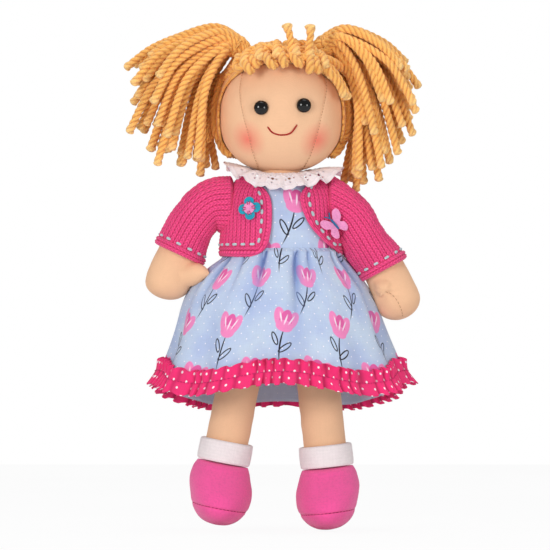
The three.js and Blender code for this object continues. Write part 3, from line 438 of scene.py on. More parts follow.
def torso(angle, share):
    found = through(TORSO_SHARES, share)
    rise = found[..., 0] * (SEAT_DROP + SHOULDER_RISE) - SEAT_DROP
    x, y = oval(angle, found[..., 1] * BODY_HALF_WIDTH, found[..., 2] * BODY_HALF_DEPTH, BODY_ROUNDNESS)
    return stacked(x, y, rise)


def torso_share(rise):
    share = np.linspace(0, 1, 600)
    rises = through(TORSO_SHARES, share)[:, 0] * (SEAT_DROP + SHOULDER_RISE) - SEAT_DROP
    return np.interp(rise, rises, share)


def head(angle, lift):
    height = np.where(lift < 0, CHEEK_RISE - CHIN_RISE, CROWN_RISE - CHEEK_RISE)
    share = np.maximum(np.cos(lift), 0) ** HEAD_FULLNESS
    return stacked(
        HEAD_HALF_WIDTH * share * np.sin(angle),
        -HEAD_HALF_DEPTH * share * np.cos(angle),
        CHEEK_RISE + height * np.sin(lift),
    )


def face_point(across, rise, distance=0.0):
    """A point in front of the head, given in the front view, at a distance outside it."""
    across, rise = np.asarray(across, float), np.asarray(rise, float)
    height = np.where(rise < CHEEK_RISE, CHEEK_RISE - CHIN_RISE, CROWN_RISE - CHEEK_RISE) + distance
    lift = np.arcsin(np.clip((rise - CHEEK_RISE) / height, -1, 1))
    share = np.cos(lift) ** HEAD_FULLNESS
    beside = np.minimum(np.abs(across) / np.maximum((HEAD_HALF_WIDTH + distance) * share, 1e-9), 1)
    return stacked(across, -(HEAD_HALF_DEPTH + distance) * share * np.sqrt(1 - beside**2), rise)


def hairline(angle, distance):
    """The fringe's line round the top of the face, with its middle at angle 0, outside the head."""
    height = HAIRLINE_RISE - HAIRLINE_MIDDLE_RISE + FRINGE_STAND_OFF
    across, up = oval(angle, HAIRLINE_HALF_WIDTH + FRINGE_STAND_OFF, height, BODY_ROUNDNESS)
    return face_point(across, HAIRLINE_MIDDLE_RISE - up, distance)


def around_doll(columns):
    """Angles round the doll that start at its back."""
    return np.linspace(-math.pi, math.pi, columns, endpoint=False)[None, :]


def ripple(points, size, seed, octaves=2):
    """Smooth random numbers from -1 to 1 over points, the same at each run."""
    rng = np.random.default_rng(seed)
    total = np.zeros(points.shape[:-1])
    for octave in range(octaves):
        for _ in range(6):
            wave = unit(rng.normal(size=points.shape[-1])) * TURN / size * 2**octave
            total += np.sin(points @ wave + rng.uniform(0, TURN)) * 0.5**octave
    return total / 6


# Meshes

def grid_faces(rows, columns, wrap):
    """The corners of a grid's faces, and the same with the seam's column counted twice."""
    spans = columns if wrap else columns - 1
    row, column = np.meshgrid(np.arange(rows - 1), np.arange(spans), indexing="ij")

    def corners(wide, after):
        upper, lower = row * wide, (row + 1) * wide
        return np.stack([upper + column, upper + after, lower + after, lower + column], -1).reshape(-1, 4)

    return corners(columns, (column + 1) % columns), corners(columns + 1, column + 1)


def face_middles(points, wrap=True):
    """The middle of each face of a grid."""
    faces, _ = grid_faces(*points.shape[:2], wrap)
    return points.reshape(-1, 3)[faces].mean(1)


def drawn_in(ring):
    """A row of a grid that closes it at the middle of a ring."""
    return np.broadcast_to(ring.mean(0), (1, *ring.shape))


def new_object(name, points, faces, finish, cloth=None, values=None, weld=False):
    """A smooth mesh in metres from points in millimetres, with cloth coordinates for each face corner."""
    mesh = bpy.data.meshes.new(name)
    mesh.from_pydata((np.asarray(points) * MM).tolist(), [], faces)
    if cloth is not None:
        mesh.uv_layers.new(name="Cloth").data.foreach_set("uv", np.asarray(cloth, np.float32).ravel())
    for key, numbers in (values or {}).items():
        mesh.attributes.new(key, "FLOAT", "POINT").data.foreach_set("value", np.asarray(numbers, np.float32))
    mesh.polygons.foreach_set("use_smooth", np.ones(len(mesh.polygons), bool))
    if weld:
        work = bmesh.new()
        work.from_mesh(mesh)
        bmesh.ops.remove_doubles(work, verts=work.verts, dist=0.01 * MM)
        bmesh.ops.recalc_face_normals(work, faces=work.faces)
        work.to_mesh(mesh)
        work.free()
    mesh.update()
    made = bpy.data.objects.new(name, mesh)
    made.data.materials.append(finish_named(finish))
    bpy.context.scene.collection.objects.link(made)
    return made


def surface_object(name, points, finish, wrap=True, cloth=None, weld=False, keep=None, values=None):
    """A mesh over a grid of points. Cloth is a grid of flat places that has one more column where it wraps,
    and keep says for each face of the grid if it stays."""
    faces, loose = grid_faces(*points.shape[:2], wrap)
    if keep is not None:
        faces, loose = faces[keep.ravel()], loose[keep.ravel()]
    corners = None
    if cloth is not None:
        if not wrap:
            cloth = np.concatenate([cloth, cloth[:, -1:]], axis=1)
        corners = cloth.reshape(-1, 2)[loose]
    used, back = np.unique(faces, return_inverse=True)
    values = {key: np.asarray(v).reshape(-1)[used] for key, v in (values or {}).items()}
    faces = back.reshape(faces.shape).tolist()
    return new_object(name, points.reshape(-1, 3)[used], faces, finish, corners, values, weld)


def flat_places(points):
    """Flat cloth places for a closed grid: across by its widest row's length, down by the mean length."""
    closed = np.concatenate([points, points[:, :1]], axis=1)
    widest = np.linalg.norm(np.diff(closed, axis=1), axis=-1).sum(1).argmax()
    return stacked(lengths(closed[widest])[None, :], row_lengths(closed))


def strand_mesh(path, radius, plies, lay, sides, start):
    """The points, faces, cloth places and end faces of one strand along a path, with turning plies."""
    path = np.asarray(path, float)
    count = len(path)
    tangent = unit(np.gradient(path, axis=0))
    length = start + lengths(path)
    normal = np.cross(tangent[0], [0, 1, 0])
    if np.linalg.norm(normal) < 0.2:
        normal = np.cross(tangent[0], [1, 0, 0])
    normals = []
    for t in tangent:
        normal = normal - t * (normal @ t)
        normal = normal / np.linalg.norm(normal)
        normals.append(normal)
    normals = np.array(normals)
    sideways = np.cross(tangent, normals)
    around = np.arange(sides) * TURN / sides
    crown = np.ones((count, sides))
    if plies:
        crown = np.abs(np.cos(plies * 0.5 * (around[None, :] - TURN * length[:, None] / lay)))
    wide = (np.broadcast_to(radius, (count,))[:, None] * (0.78 + 0.26 * crown))[..., None]
    ring = normals[:, None] * np.cos(around)[:, None] + sideways[:, None] * np.sin(around)[:, None]
    points = np.vstack([(path[:, None] + ring * wide).reshape(-1, 3), path[0], path[-1]])
    faces, loose = grid_faces(count, sides, True)
    cloth = stacked(length[:, None], np.linspace(0, 1, sides + 1)[None, :])
    first, last = count * sides, (count - 1) * sides
    ends = []
    for i in range(sides):
        after = (i + 1) % sides
        ends += [(after, i, first), (last + i, last + after, first + 1)]
    return points, faces, cloth.reshape(-1, 2)[loose], np.array(ends)


def strands_object(name, strands, finish, plies=0, lay=1.0, sides=6):
    """Many plied strands in one mesh. Each is a path, its radius along it and how pale it is along it."""
    points, faces, cloth, pale, own = [], [], [], [], []
    start = 0
    for number, (path, radius, tips) in enumerate(strands):
        shift = number * STRAND_SHIFT
        made, quads, corners, ends = strand_mesh(path, radius, plies, lay, sides, shift)
        points.append(made)
        faces += (quads + start).tolist() + (ends + start).tolist()
        cloth += [corners.reshape(-1, 2), np.tile([shift, 0.5], (len(ends) * 3, 1))]
        tips = np.broadcast_to(tips, (len(path),))
        pale.append(np.concatenate([np.repeat(tips, sides), [tips[0], tips[-1]]]))
        own.append(np.full(len(made), math.modf(abs(math.sin(number * 12.9898)) * 437.585)[0]))
        start += len(made)
    values = {"tip": np.concatenate(pale), "own": np.concatenate(own)}
    return new_object(name, np.vstack(points), faces, finish, np.vstack(cloth), values)


def blunt_end(left):
    """The share of a strand's radius at a length before its soft cut end."""
    return np.maximum(np.sqrt(np.clip(1 - (1 - np.minimum(left / 2.1, 1)) ** 2, 0, 1)), 0.15)


def rounded_strand(points, radius, step, start_share=1.0, tip=1.0, start_round=False):
    """A path at even steps, its radius with a soft cut end, and how pale the yarn is along it."""
    dense = evenly(points, np.linspace(0, 1, 200))
    length = np.linalg.norm(np.diff(dense, axis=0), axis=1).sum()
    count = max(int(length / step), 4)
    share = np.linspace(0, 1, count + 1)
    share = np.append(share[:-1], [1 - 0.45 / count, 1 - 0.12 / count, 1])
    path = evenly(points, share)
    left = (1 - share) * length
    wide = radius * blunt_end(left) * mix(start_share, 1, smooth(share * length, 0, 16))
    wide = wide * (1 + 0.2 * tip * smooth(1 - left / 6))
    if start_round:
        wide = wide * blunt_end(share * length)
    return path, wide, tip * smooth(1 - left / 9)


def stitch_shares(count, low, high, steps):
    """The stretch of a seam that each of its stitches covers, as shares of the seam."""
    return [np.linspace(i + low, i + high, steps) / count for i in range(count)]


def face_out(piece, upward):
    """Turns an open sheet's faces away from the doll's middle, or up."""
    count = len(piece.data.polygons)
    normals, places = np.empty(3 * count), np.empty(3 * count)
    piece.data.polygons.foreach_get("normal", normals)
    piece.data.polygons.foreach_get("center", places)
    normals, places = normals.reshape(-1, 3), places.reshape(-1, 3)
    total = normals[:, 2].sum() if upward else (normals[:, :2] * places[:, :2]).sum()
    if total < 0:
        piece.data.flip_normals()


def thicken(piece, millimetres, upward=False):
    """Gives cloth its thickness, inwards from the face that is seen."""
    face_out(piece, upward)
    modifier = piece.modifiers.new("Thickness", "SOLIDIFY")
    modifier.thickness = millimetres * MM
    modifier.offset = -1


def baked(piece):
    """Puts a piece's modifiers into its mesh."""
    graph = bpy.context.evaluated_depsgraph_get()
    mesh = bpy.data.meshes.new_from_object(piece.evaluated_get(graph))
    piece.modifiers.clear()
    piece.data = mesh
    return piece


def fused(pieces):
    """Joins closed pieces into one skin, as one stuffed shape, and smooths it."""
    work = bmesh.new()
    for piece in pieces:
        work.from_mesh(piece.data)
    first = pieces[0]
    work.to_mesh(first.data)
    work.free()
    for other in pieces[1:]:
        bpy.data.objects.remove(other)
    remesh = first.modifiers.new("Skin", "REMESH")
    remesh.mode = "VOXEL"
    remesh.voxel_size = 0.9 * MM
    remesh.use_smooth_shade = True
    even = first.modifiers.new("Even", "SMOOTH")
    even.factor = 0.5
    even.iterations = 4
    return baked(first)


def place_on(piece, body, slot, *nodes):
    """Lets a piece ride on a body and stand for its solids. The slot is not used."""
    if nodes:
        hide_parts(*nodes)
    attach(piece, body)
    return piece


def bend_at_shoulder(side_name, *pieces):
    """Takes pieces off their parents and bakes their places into their meshes. The side is not used."""
    for piece in pieces:
        piece.parent = None
        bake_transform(piece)

def bend_over_lap(*pieces):
    """Takes pieces of the skirt off their parents and bakes their places into their meshes."""
    for piece in pieces:
        piece.parent = None
        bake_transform(piece)


# Finishes

class Nodes:
    """Adds shader nodes to a tree and joins them."""

    def __init__(self, tree):
        self.tree = tree

    def put(self, socket, value):
        if isinstance(value, bpy.types.NodeSocket):
            self.tree.links.new(value, socket)
        elif value is not None:
            if socket.type == "RGBA" and len(value) == 3:
                value = (*value, 1)
            socket.default_value = value

    def add(self, kind, *values, named=None, **settings):
        node = self.tree.nodes.new(kind)
        for key, value in settings.items():
            setattr(node, key, value)
        for i, value in enumerate(values):
            self.put(node.inputs[i], value)
        for key, value in (named or {}).items():
            self.put(node.inputs[key], value)
        return node

    def math(self, operation, *values, clamp=False):
        return self.add("ShaderNodeMath", *values, operation=operation, use_clamp=clamp).outputs[0]

    def plus(self, first, second):
        return self.math("ADD", first, second)

    def minus(self, first, second):
        return self.math("SUBTRACT", first, second)

    def times(self, first, second):
        return self.math("MULTIPLY", first, second)

    def vector(self, operation, *values):
        node = self.add("ShaderNodeVectorMath", *values, operation=operation)
        return node.outputs["Value" if operation in ("LENGTH", "DOT_PRODUCT", "DISTANCE") else "Vector"]

    def colour(self, factor, first, second):
        node = self.add("ShaderNodeMix", data_type="RGBA")
        for i, value in ((0, factor), (6, first), (7, second)):
            self.put(node.inputs[i], value)
        return node.outputs[2]

    def noise(self, place, scale, detail=3.0, roughness=0.5):
        named = {"Vector": place, "Scale": scale, "Detail": detail, "Roughness": roughness}
        return self.add("ShaderNodeTexNoise", named=named).outputs["Fac"]

    def scaled(self, place, x, y, z=1.0):
        return self.vector("MULTIPLY", place, (x, y, z))

    def span(self, value, low, high, start=0.0, end=1.0):
        named = {"Value": value, "From Min": low, "From Max": high, "To Min": start, "To Max": end}
        return self.add("ShaderNodeMapRange", named=named).outputs[0]

    def axes(self, place):
        return self.add("ShaderNodeSeparateXYZ", place).outputs

    def joined(self, x, y, z):
        return self.add("ShaderNodeCombineXYZ", x, y, z).outputs[0]

    def attribute(self, name):
        return self.add("ShaderNodeAttribute", attribute_name=name).outputs["Fac"]

    def cloth(self):
        return self.add("ShaderNodeUVMap", uv_map="Cloth").outputs[0]

    def places(self):
        """Places on the piece as it was made, in millimetres."""
        place = self.add("ShaderNodeTexCoord").outputs["Object"]
        return self.add("ShaderNodeVectorMath", place, operation="SCALE", named={"Scale": 1 / MM}).outputs[0]

    def group(self, name, **values):
        """The outputs of a shared node group, which is made when it is first asked for."""
        tree = bpy.data.node_groups.get(name) or GROUPS[name]()
        return self.add("ShaderNodeGroup", named=values, node_tree=tree).outputs

    def shade(self, place, size, colour, detail, strength):
        """A colour with slow changes of shade, and with the shade of its detail."""
        values = {"Place": place, "Size": size, "Colour": colour, "Detail": detail, "Strength": strength}
        return self.group("Soft shade", **values)["Colour"]


def shader_group(name, inputs, outputs):
    """An empty node group with named sockets, and its input and output nodes."""
    tree = bpy.data.node_groups.new(name, "ShaderNodeTree")
    kinds = {"float": "NodeSocketFloat", "vector": "NodeSocketVector", "colour": "NodeSocketColor"}
    for label, kind, default in inputs:
        socket = tree.interface.new_socket(name=label, in_out="INPUT", socket_type=kinds[kind])
        if default is not None:
            socket.default_value = default
    for label, kind in outputs:
        tree.interface.new_socket(name=label, in_out="OUTPUT", socket_type=kinds[kind])
    nodes = Nodes(tree)
    return nodes, nodes.add("NodeGroupInput").outputs, nodes.add("NodeGroupOutput").inputs


def weave_group():
    """Plain woven cloth: threads over and under, with slubs. The pitch is in millimetres."""
    nodes, given, put = shader_group(
        "Plain weave",
        [("Place", "vector", None), ("Pitch", "float", 0.5), ("Slub", "float", 0.5)],
        [("Height", "float"), ("Shade", "float")],
    )
    place = nodes.vector("DIVIDE", given["Place"], nodes.joined(given["Pitch"], given["Pitch"], 1.0))
    across, along = [nodes.times(axis, math.pi) for axis in nodes.axes(place)[:2]]
    warp = nodes.math("ABSOLUTE", nodes.math("SINE", across))
    weft = nodes.math("ABSOLUTE", nodes.math("SINE", along))
    over = nodes.times(nodes.math("COSINE", across), nodes.math("COSINE", along))
    over = nodes.span(over, -0.4, 0.4)
    woven = nodes.add("ShaderNodeMix", named={0: over, 2: warp, 3: weft}).outputs[0]
    slubs = nodes.noise(nodes.scaled(place, 0.9, 0.06), 1.0, 2.0)
    slubs = nodes.plus(slubs, nodes.noise(nodes.scaled(place, 0.06, 0.9), 1.0, 2.0))
    slubs = nodes.times(nodes.minus(slubs, 1.0), given["Slub"])
    nodes.put(put["Height"], nodes.plus(woven, slubs))
    # The shade is partly painted shade, darker between the threads and lighter on their crowns, and partly
    # the slubs' own tone
    nodes.put(put["Shade"], nodes.plus(nodes.times(woven, 0.35), nodes.times(slubs, 1.2)))
    return nodes.tree


def fibres_group():
    """Loose fibres of yarn, felt or brushed jersey, drawn out along one direction of the place."""
    nodes, given, put = shader_group(
        "Fibres",
        [("Place", "vector", None), ("Size", "float", 0.35), ("Stretch", "float", 6.0)],
        [("Height", "float"), ("Shade", "float")],
    )
    wide = nodes.math("DIVIDE", 1.0, given["Size"])
    drawn = nodes.math("DIVIDE", wide, given["Stretch"])
    place = nodes.vector("MULTIPLY", given["Place"], nodes.joined(drawn, wide, wide))
    fine = nodes.noise(place, 1.0, 4.0, 0.7)
    coarse = nodes.noise(place, 0.27, 2.0)
    nodes.put(put["Height"], nodes.plus(fine, nodes.times(coarse, 0.5)))
    nodes.put(put["Shade"], nodes.minus(nodes.plus(fine, coarse), 1.0))
    return nodes.tree


def soft_shade_group():
    """Slow changes of shade over a piece, as cloth has from handling and dye."""
    nodes, given, put = shader_group(
        "Soft shade",
        [("Place", "vector", None), ("Size", "float", 30.0), ("Colour", "colour", (1, 1, 1, 1)),
         ("Detail", "float", 0.0), ("Strength", "float", 0.1)],
        [("Colour", "colour")],
    )
    slow = nodes.noise(given["Place"], nodes.math("DIVIDE", 1.0, given["Size"]), 3.0, 0.55)
    change = nodes.times(nodes.minus(slow, 0.5), given["Strength"])
    level = nodes.plus(nodes.plus(1.0, given["Detail"]), nodes.times(change, 2.0))
    shaded = nodes.add("ShaderNodeVectorMath", given["Colour"], operation="SCALE", named={"Scale": level})
    nodes.put(put["Colour"], shaded.outputs[0])
    return nodes.tree


def dots_group():
    """Printed round dots in staggered rows on cloth, in millimetres."""
    nodes, given, put = shader_group(
        "Printed dots",
        [("Place", "vector", None), ("Spacing", "float", 7.0), ("Radius", "float", 0.8)],
        [("Mask", "float")],
    )
    spacing = nodes.joined(given["Spacing"], given["Spacing"], 1.0)
    masks = []
    for shift in ((0.25, 0.25, 0.0), (0.75, 0.75, 0.0)):
        cell = nodes.vector("ADD", nodes.vector("DIVIDE", given["Place"], spacing), shift)
        local = nodes.vector("SUBTRACT", nodes.vector("FRACTION", cell), (0.5, 0.5, 0.0))
        local = nodes.scaled(local, 1, 1, 0)
        away = nodes.times(nodes.vector("LENGTH", local), given["Spacing"])
        away = nodes.minus(away, given["Radius"])
        masks.append(nodes.span(away, 0.12, -0.12))
    nodes.put(put["Mask"], nodes.math("MAXIMUM", *masks))
    return nodes.tree


GROUPS = {
    "Plain weave": weave_group,
    "Fibres": fibres_group,
    "Soft shade": soft_shade_group,
    "Printed dots": dots_group,
}


def matte_cloth(nodes, shader, colour, height, roughness, depth, sheen, strength=0.6):
    """Joins a colour and a height in millimetres to a matte cloth shader."""
    bump = nodes.add("ShaderNodeBump", named={"Strength": strength, "Distance": depth * MM, "Height": height})
    nodes.put(shader.inputs["Base Color"], colour)
    nodes.put(shader.inputs["Normal"], bump.outputs[0])
    shader.inputs["Roughness"].default_value = roughness
    shader.inputs["Specular IOR Level"].default_value = 0.25
    shader.inputs["Sheen Weight"].default_value = sheen
    shader.inputs["Sheen Roughness"].default_value = 0.6


def skin_finish(nodes, shader, cheeks=()):
    """Fine cotton jersey, with soft blush where the cheeks are given."""
    place = nodes.places()
    jersey = nodes.group("Plain weave", Place=place, Pitch=0.55, Slub=0.7)
    tone = nodes.times(jersey["Shade"], 0.06)
    skin = nodes.shade(place, 24.0, colours().skin, tone, 0.05)
    for (across, rise), radius in cheeks:
        centre = (across, float(face_point(across, rise)[1]), rise)
        away = nodes.vector("DISTANCE", place, centre)
        away = nodes.plus(away, nodes.times(nodes.noise(place, 0.3), 1.5))
        blush = nodes.math("POWER", nodes.span(away, 1.1 * radius, 1.0), 1.2)
        skin = nodes.colour(nodes.times(blush, 0.85), skin, colours().cheek)
    matte_cloth(nodes, shader, skin, jersey["Height"], 0.88, 0.08, 0.08)


def hair_finish(nodes, shader):
    """Soft plied yarn: fluffy, paler at the cut ends, with painted shade between the plies."""
    cloth = nodes.cloth()
    place = nodes.places()
    fibres = nodes.group("Fibres", Place=nodes.scaled(cloth, 1.0, 9.0), Size=0.4, Stretch=3.0)
    axes = nodes.axes(cloth)
    turns = nodes.minus(axes[1], nodes.math("DIVIDE", axes[0], sizes().yarn_lay / MM))
    crown = nodes.math("ABSOLUTE", nodes.math("COSINE", nodes.times(turns, PLIES * math.pi)))
    groove = nodes.math("POWER", nodes.minus(1.0, crown), 1.6)
    # Painted shade: the grooves between the plies are darkened to the hair shade colour
    base = nodes.colour(nodes.times(groove, 0.75), colours().hair, colours().hair_shade)
    base = nodes.colour(nodes.times(nodes.attribute("tip"), 0.55), base, colours().hair_tip)
    fluff = nodes.span(nodes.noise(place, 0.9, 4.0, 0.7), 0.5, 0.75)
    base = nodes.colour(nodes.times(fluff, 0.35), base, colours().hair_tip)
    own = nodes.span(nodes.attribute("own"), 0, 1, -0.06, 0.05)
    tone = nodes.plus(nodes.times(fibres["Shade"], 0.25), own)
    base = nodes.shade(place, 18.0, base, tone, 0.08)
    height = nodes.plus(nodes.times(crown, 1.6), fibres["Height"])
    matte_cloth(nodes, shader, base, height, 0.92, 0.4, 0.25, 0.9)


def eye_finish(nodes, shader):
    """Polished black plastic with a few fine scuffs."""
    place = nodes.places()
    scuffs = nodes.span(nodes.noise(nodes.scaled(place, 1, 1, 7), 1.3, 5.0), 0.55, 0.8)
    nodes.put(shader.inputs["Base Color"], nodes.colour(scuffs, (0.002, 0.002, 0.002), (0.006, 0.006, 0.007)))
    nodes.put(shader.inputs["Roughness"], nodes.span(scuffs, 0, 1, 0.06, 0.14))
    shader.inputs["Specular IOR Level"].default_value = 0.4


def washer_finish(nodes, shader):
    place = nodes.places()
    grain = nodes.noise(place, 2.0, 4.0)
    nodes.put(shader.inputs["Base Color"], nodes.colour(grain, (0.7, 0.69, 0.65), (0.78, 0.77, 0.73)))
    nodes.put(shader.inputs["Roughness"], nodes.span(grain, 0, 1, 0.42, 0.56))


def thread_finish(nodes, shader, key, lay=0.9):
    """Twisted sewing or embroidery thread, with painted shade between its plies."""
    cloth = nodes.cloth()
    axes = nodes.axes(cloth)
    turn = nodes.plus(nodes.math("DIVIDE", axes[0], lay), nodes.times(axes[1], 2.0))
    ply = nodes.math("ABSOLUTE", nodes.math("SINE", nodes.times(turn, math.pi)))
    fibres = nodes.group("Fibres", Place=nodes.scaled(cloth, 1.0, 3.0), Size=0.2, Stretch=4.0)
    # Painted shade between the plies and lighter crowns, with the fibres' own tone
    tone = nodes.plus(nodes.span(ply, 0, 1, -0.3, 0.12), nodes.times(fibres["Shade"], 0.3))
    base = nodes.shade(cloth, 12.0, getattr(colours(), key), tone, 0.1)
    matte_cloth(nodes, shader, base, ply, 0.75, 0.2, 0.1)


def knit_finish(nodes, shader):
    """Wool knitting: the stitches stand in the mesh, and the finish gives their plies and fluff, and painted
    shade in the gaps between them.
    """
    cloth = nodes.cloth()
    fibres = nodes.group("Fibres", Place=cloth, Size=0.32, Stretch=1.6)
    # Painted shade: the gaps between the stitches and the border grooves are darkened towards the cardigan
    # shade
    low = nodes.math("POWER", nodes.attribute("painted_shade"), 1.3)
    base = nodes.colour(low, colours().cardigan, colours().cardigan_shade)
    tone = nodes.times(fibres["Shade"], 0.45)
    base = nodes.shade(cloth, 26.0, base, tone, 0.1)
    matte_cloth(nodes, shader, base, fibres["Height"], 0.95, 0.35, 0.2, 0.9)


def felt_finish(nodes, shader, key):
    """Pressed felt with tangled fibres."""
    place = nodes.places()
    fibres = nodes.group("Fibres", Place=place, Size=0.28, Stretch=2.5)
    base = nodes.shade(place, 6.0, getattr(colours(), key), nodes.times(fibres["Shade"], 0.5), 0.12)
    matte_cloth(nodes, shader, base, fibres["Height"], 0.96, 0.25, 0.3, 0.8)


def jersey_finish(nodes, shader, key, pitch=0.8, fluff=0.3):
    """Brushed jersey with fine upright wales."""
    cloth = nodes.cloth()
    wales = nodes.group("Plain weave", Place=nodes.scaled(cloth, 1.0, 0.45), Pitch=pitch, Slub=0.5)
    fibres = nodes.group("Fibres", Place=cloth, Size=0.5, Stretch=1.0)
    tone = nodes.plus(nodes.times(wales["Shade"], 0.14),
                      nodes.times(fibres["Shade"], fluff))
    base = nodes.shade(cloth, 20.0, getattr(colours(), key), tone, 0.06)
    height = nodes.plus(nodes.times(wales["Height"], 0.4), fibres["Height"])
    matte_cloth(nodes, shader, base, height, 0.95, 0.25, 0.3)


def printed_shape(nodes, place, centre, size, turn=0.0, edge=0.08):
    """The mask of one printed ellipse, with its centre and half sizes in millimetres."""
    local = nodes.add("ShaderNodeMapping", vector_type="TEXTURE", named={
        "Vector": place, "Location": (*centre, 0), "Rotation": (0, 0, turn * DEGREE), "Scale": (*size, 1)})
    away = nodes.vector("LENGTH", nodes.scaled(local.outputs[0], 1, 1, 0))
    return nodes.span(away, 1 + edge, 1 - edge)


def dress_finish(nodes, shader):
    """Periwinkle cotton, printed with pink blossoms on thin dark stems and with tiny white dots, with painted
    shade in the skirt's deep folds.
    """
    cloth = nodes.cloth()
    wide, tall = sizes().print_width / MM, sizes().print_height / MM
    weave = nodes.group("Plain weave", Place=cloth, Pitch=0.5, Slub=1.0)
    slow = nodes.noise(cloth, 0.035, 3.0)
    base = nodes.colour(nodes.span(slow, 0.35, 0.65), colours().dress, (0.54, 0.64, 0.79))
    dots = nodes.group("Printed dots", Place=cloth, Spacing=9.5, Radius=0.5)["Mask"]
    base = nodes.colour(nodes.times(dots, 0.85), base, colours().dots)
    for shift, turn, flip in (((0.0, 0.0), 12, 1), ((0.5, 0.5), -16, -1)):
        cell = nodes.vector("ADD", nodes.vector("DIVIDE", cloth, (wide, tall, 1)), (*shift, 0))
        local = nodes.vector("SUBTRACT", nodes.vector("FRACTION", cell), (0.5, 0.5, 0))
        local = nodes.scaled(local, wide * flip / PRINT_SCALE, tall / PRINT_SCALE, 0)
        base = print_blossom(nodes, base, local, turn)
    sides = nodes.add("ShaderNodeTexCoord").outputs
    normal, beside = [nodes.scaled(sides[key], 1, 1, 0) for key in ("Normal", "Object")]
    inside = nodes.math("LESS_THAN", nodes.vector("DOT_PRODUCT", normal, beside), 0.0)
    base = nodes.colour(nodes.times(inside, 0.72), base, (0.5, 0.56, 0.68))
    # Painted shade: the deep folds of the skirt are darkened towards a deep blue
    base = nodes.colour(nodes.times(nodes.attribute("painted_shade"), 0.7), base, (0.17, 0.26, 0.56))
    tone = nodes.times(weave["Shade"], 0.12)
    base = nodes.shade(cloth, 35.0, base, tone, 0.05)
    matte_cloth(nodes, shader, base, weave["Height"], 0.88, 0.09, 0.1)


def print_blossom(nodes, base, local, turn):
    """Draws one blossom with its stem and two leaves, 26 units tall, round the middle of its place."""
    local = nodes.add("ShaderNodeVectorRotate", rotation_type="Z_AXIS", named={
        "Vector": local, "Angle": turn * DEGREE}).outputs[0]
    bend = nodes.axes(local)
    curved = nodes.plus(bend[0], nodes.times(nodes.math("POWER", bend[1], 2.0), 0.012))
    along = nodes.joined(curved, bend[1], 0.0)
    stem = printed_shape(nodes, along, (0, -5.5), (0.42, 8.5), edge=0.2)
    for centre, size, angle in (((-3.2, -6.4), (1.5, 4.2), 38), ((3.0, -3.2), (1.4, 3.8), -36)):
        leaf = printed_shape(nodes, local, centre, size, angle, 0.06)
        inner = printed_shape(nodes, local, centre, (size[0] - 0.65, size[1] - 0.75), angle, 0.08)
        stem = nodes.math("MAXIMUM", stem, nodes.math("SUBTRACT", leaf, inner, clamp=True))
    base = nodes.colour(stem, base, colours().stem)
    for centre, size, angle, deep in (
        ((-3.6, 8.0), (2.9, 5.4), 24, False), ((3.6, 8.0), (2.9, 5.4), -24, False),
        ((0, 7.2), (3.4, 5.6), 0, True), ((0, 4.2), (4.6, 3.0), 0, False),
    ):
        petal = printed_shape(nodes, local, centre, size, angle, 0.04)
        base = nodes.colour(petal, base, colours().blossom_shade if deep else colours().blossom)
    for centre, size, angle in (
        ((-3.0, 8.2), (0.4, 2.8), 24), ((3.1, 8.4), (0.4, 2.5), -24), ((0.2, 7.6), (0.45, 2.6), 6),
    ):
        streak = printed_shape(nodes, local, centre, size, angle, 0.3)
        base = nodes.colour(nodes.times(streak, 0.8), base, colours().dots)
    return base


def frill_finish(nodes, shader):
    """Hot pink cotton with white dots, and painted shade in the creases of the gathers."""
    cloth = nodes.cloth()
    weave = nodes.group("Plain weave", Place=cloth, Pitch=0.5, Slub=0.8)
    spacing, radius = sizes().dot_spacing / MM * math.sqrt(2), sizes().dot_radius / MM
    dots = nodes.group("Printed dots", Place=cloth, Spacing=spacing, Radius=radius)["Mask"]
    base = nodes.colour(nodes.times(dots, 0.93), colours().frill, colours().dots)
    # Painted shade: the creases of the gathers are darkened towards a deep red
    base = nodes.colour(nodes.times(nodes.attribute("painted_shade"), 0.75), base, (0.34, 0.003, 0.055))
    base = nodes.shade(cloth, 30.0, base, nodes.times(weave["Shade"], 0.14), 0.08)
    matte_cloth(nodes, shader, base, weave["Height"], 0.86, 0.1, 0.12)


def lace_finish(nodes, shader):
    """Fine cotton lace with close stitching."""
    cloth = nodes.cloth()
    weave = nodes.group("Plain weave", Place=cloth, Pitch=0.42, Slub=1.2)
    fibres = nodes.group("Fibres", Place=cloth, Size=0.3, Stretch=1.5)
    tone = nodes.plus(nodes.times(weave["Shade"], 0.12),
                      nodes.times(fibres["Shade"], 0.08))
    base = nodes.shade(cloth, 9.0, colours().lace, tone, 0.05)
    matte_cloth(nodes, shader, base, weave["Height"], 0.85, 0.1, 0.15)
    shader.inputs["Subsurface Weight"].default_value = 0.1
    shader.inputs["Subsurface Radius"].default_value = (0.002, 0.0015, 0.0015)


def floor_finish(nodes, shader):
    """Plain and matte: the camera and reflections see it as nearly white, and it keeps its shadows."""
    shader.inputs["Base Color"].default_value = (0.86, 0.86, 0.87, 1)
    shader.inputs["Roughness"].default_value = 0.9
    rays = nodes.add("ShaderNodeLightPath").outputs
    seen = nodes.math("MAXIMUM", rays["Is Camera Ray"], rays["Is Glossy Ray"])
    seen = nodes.math("MAXIMUM", seen, rays["Is Transmission Ray"])
    glow = nodes.add("ShaderNodeEmission", (1, 1, 1, 1), 1.0)
    place = nodes.add("ShaderNodeTexCoord").outputs["Object"]
    share = nodes.times(seen, nodes.span(nodes.noise(place, 3.0), 0.3, 0.7, 0.93, 0.95))
    blend = nodes.add("ShaderNodeMixShader", share, shader.outputs[0], glow.outputs[0])
    nodes.put(nodes.tree.nodes["Material Output"].inputs[0], blend.outputs[0])


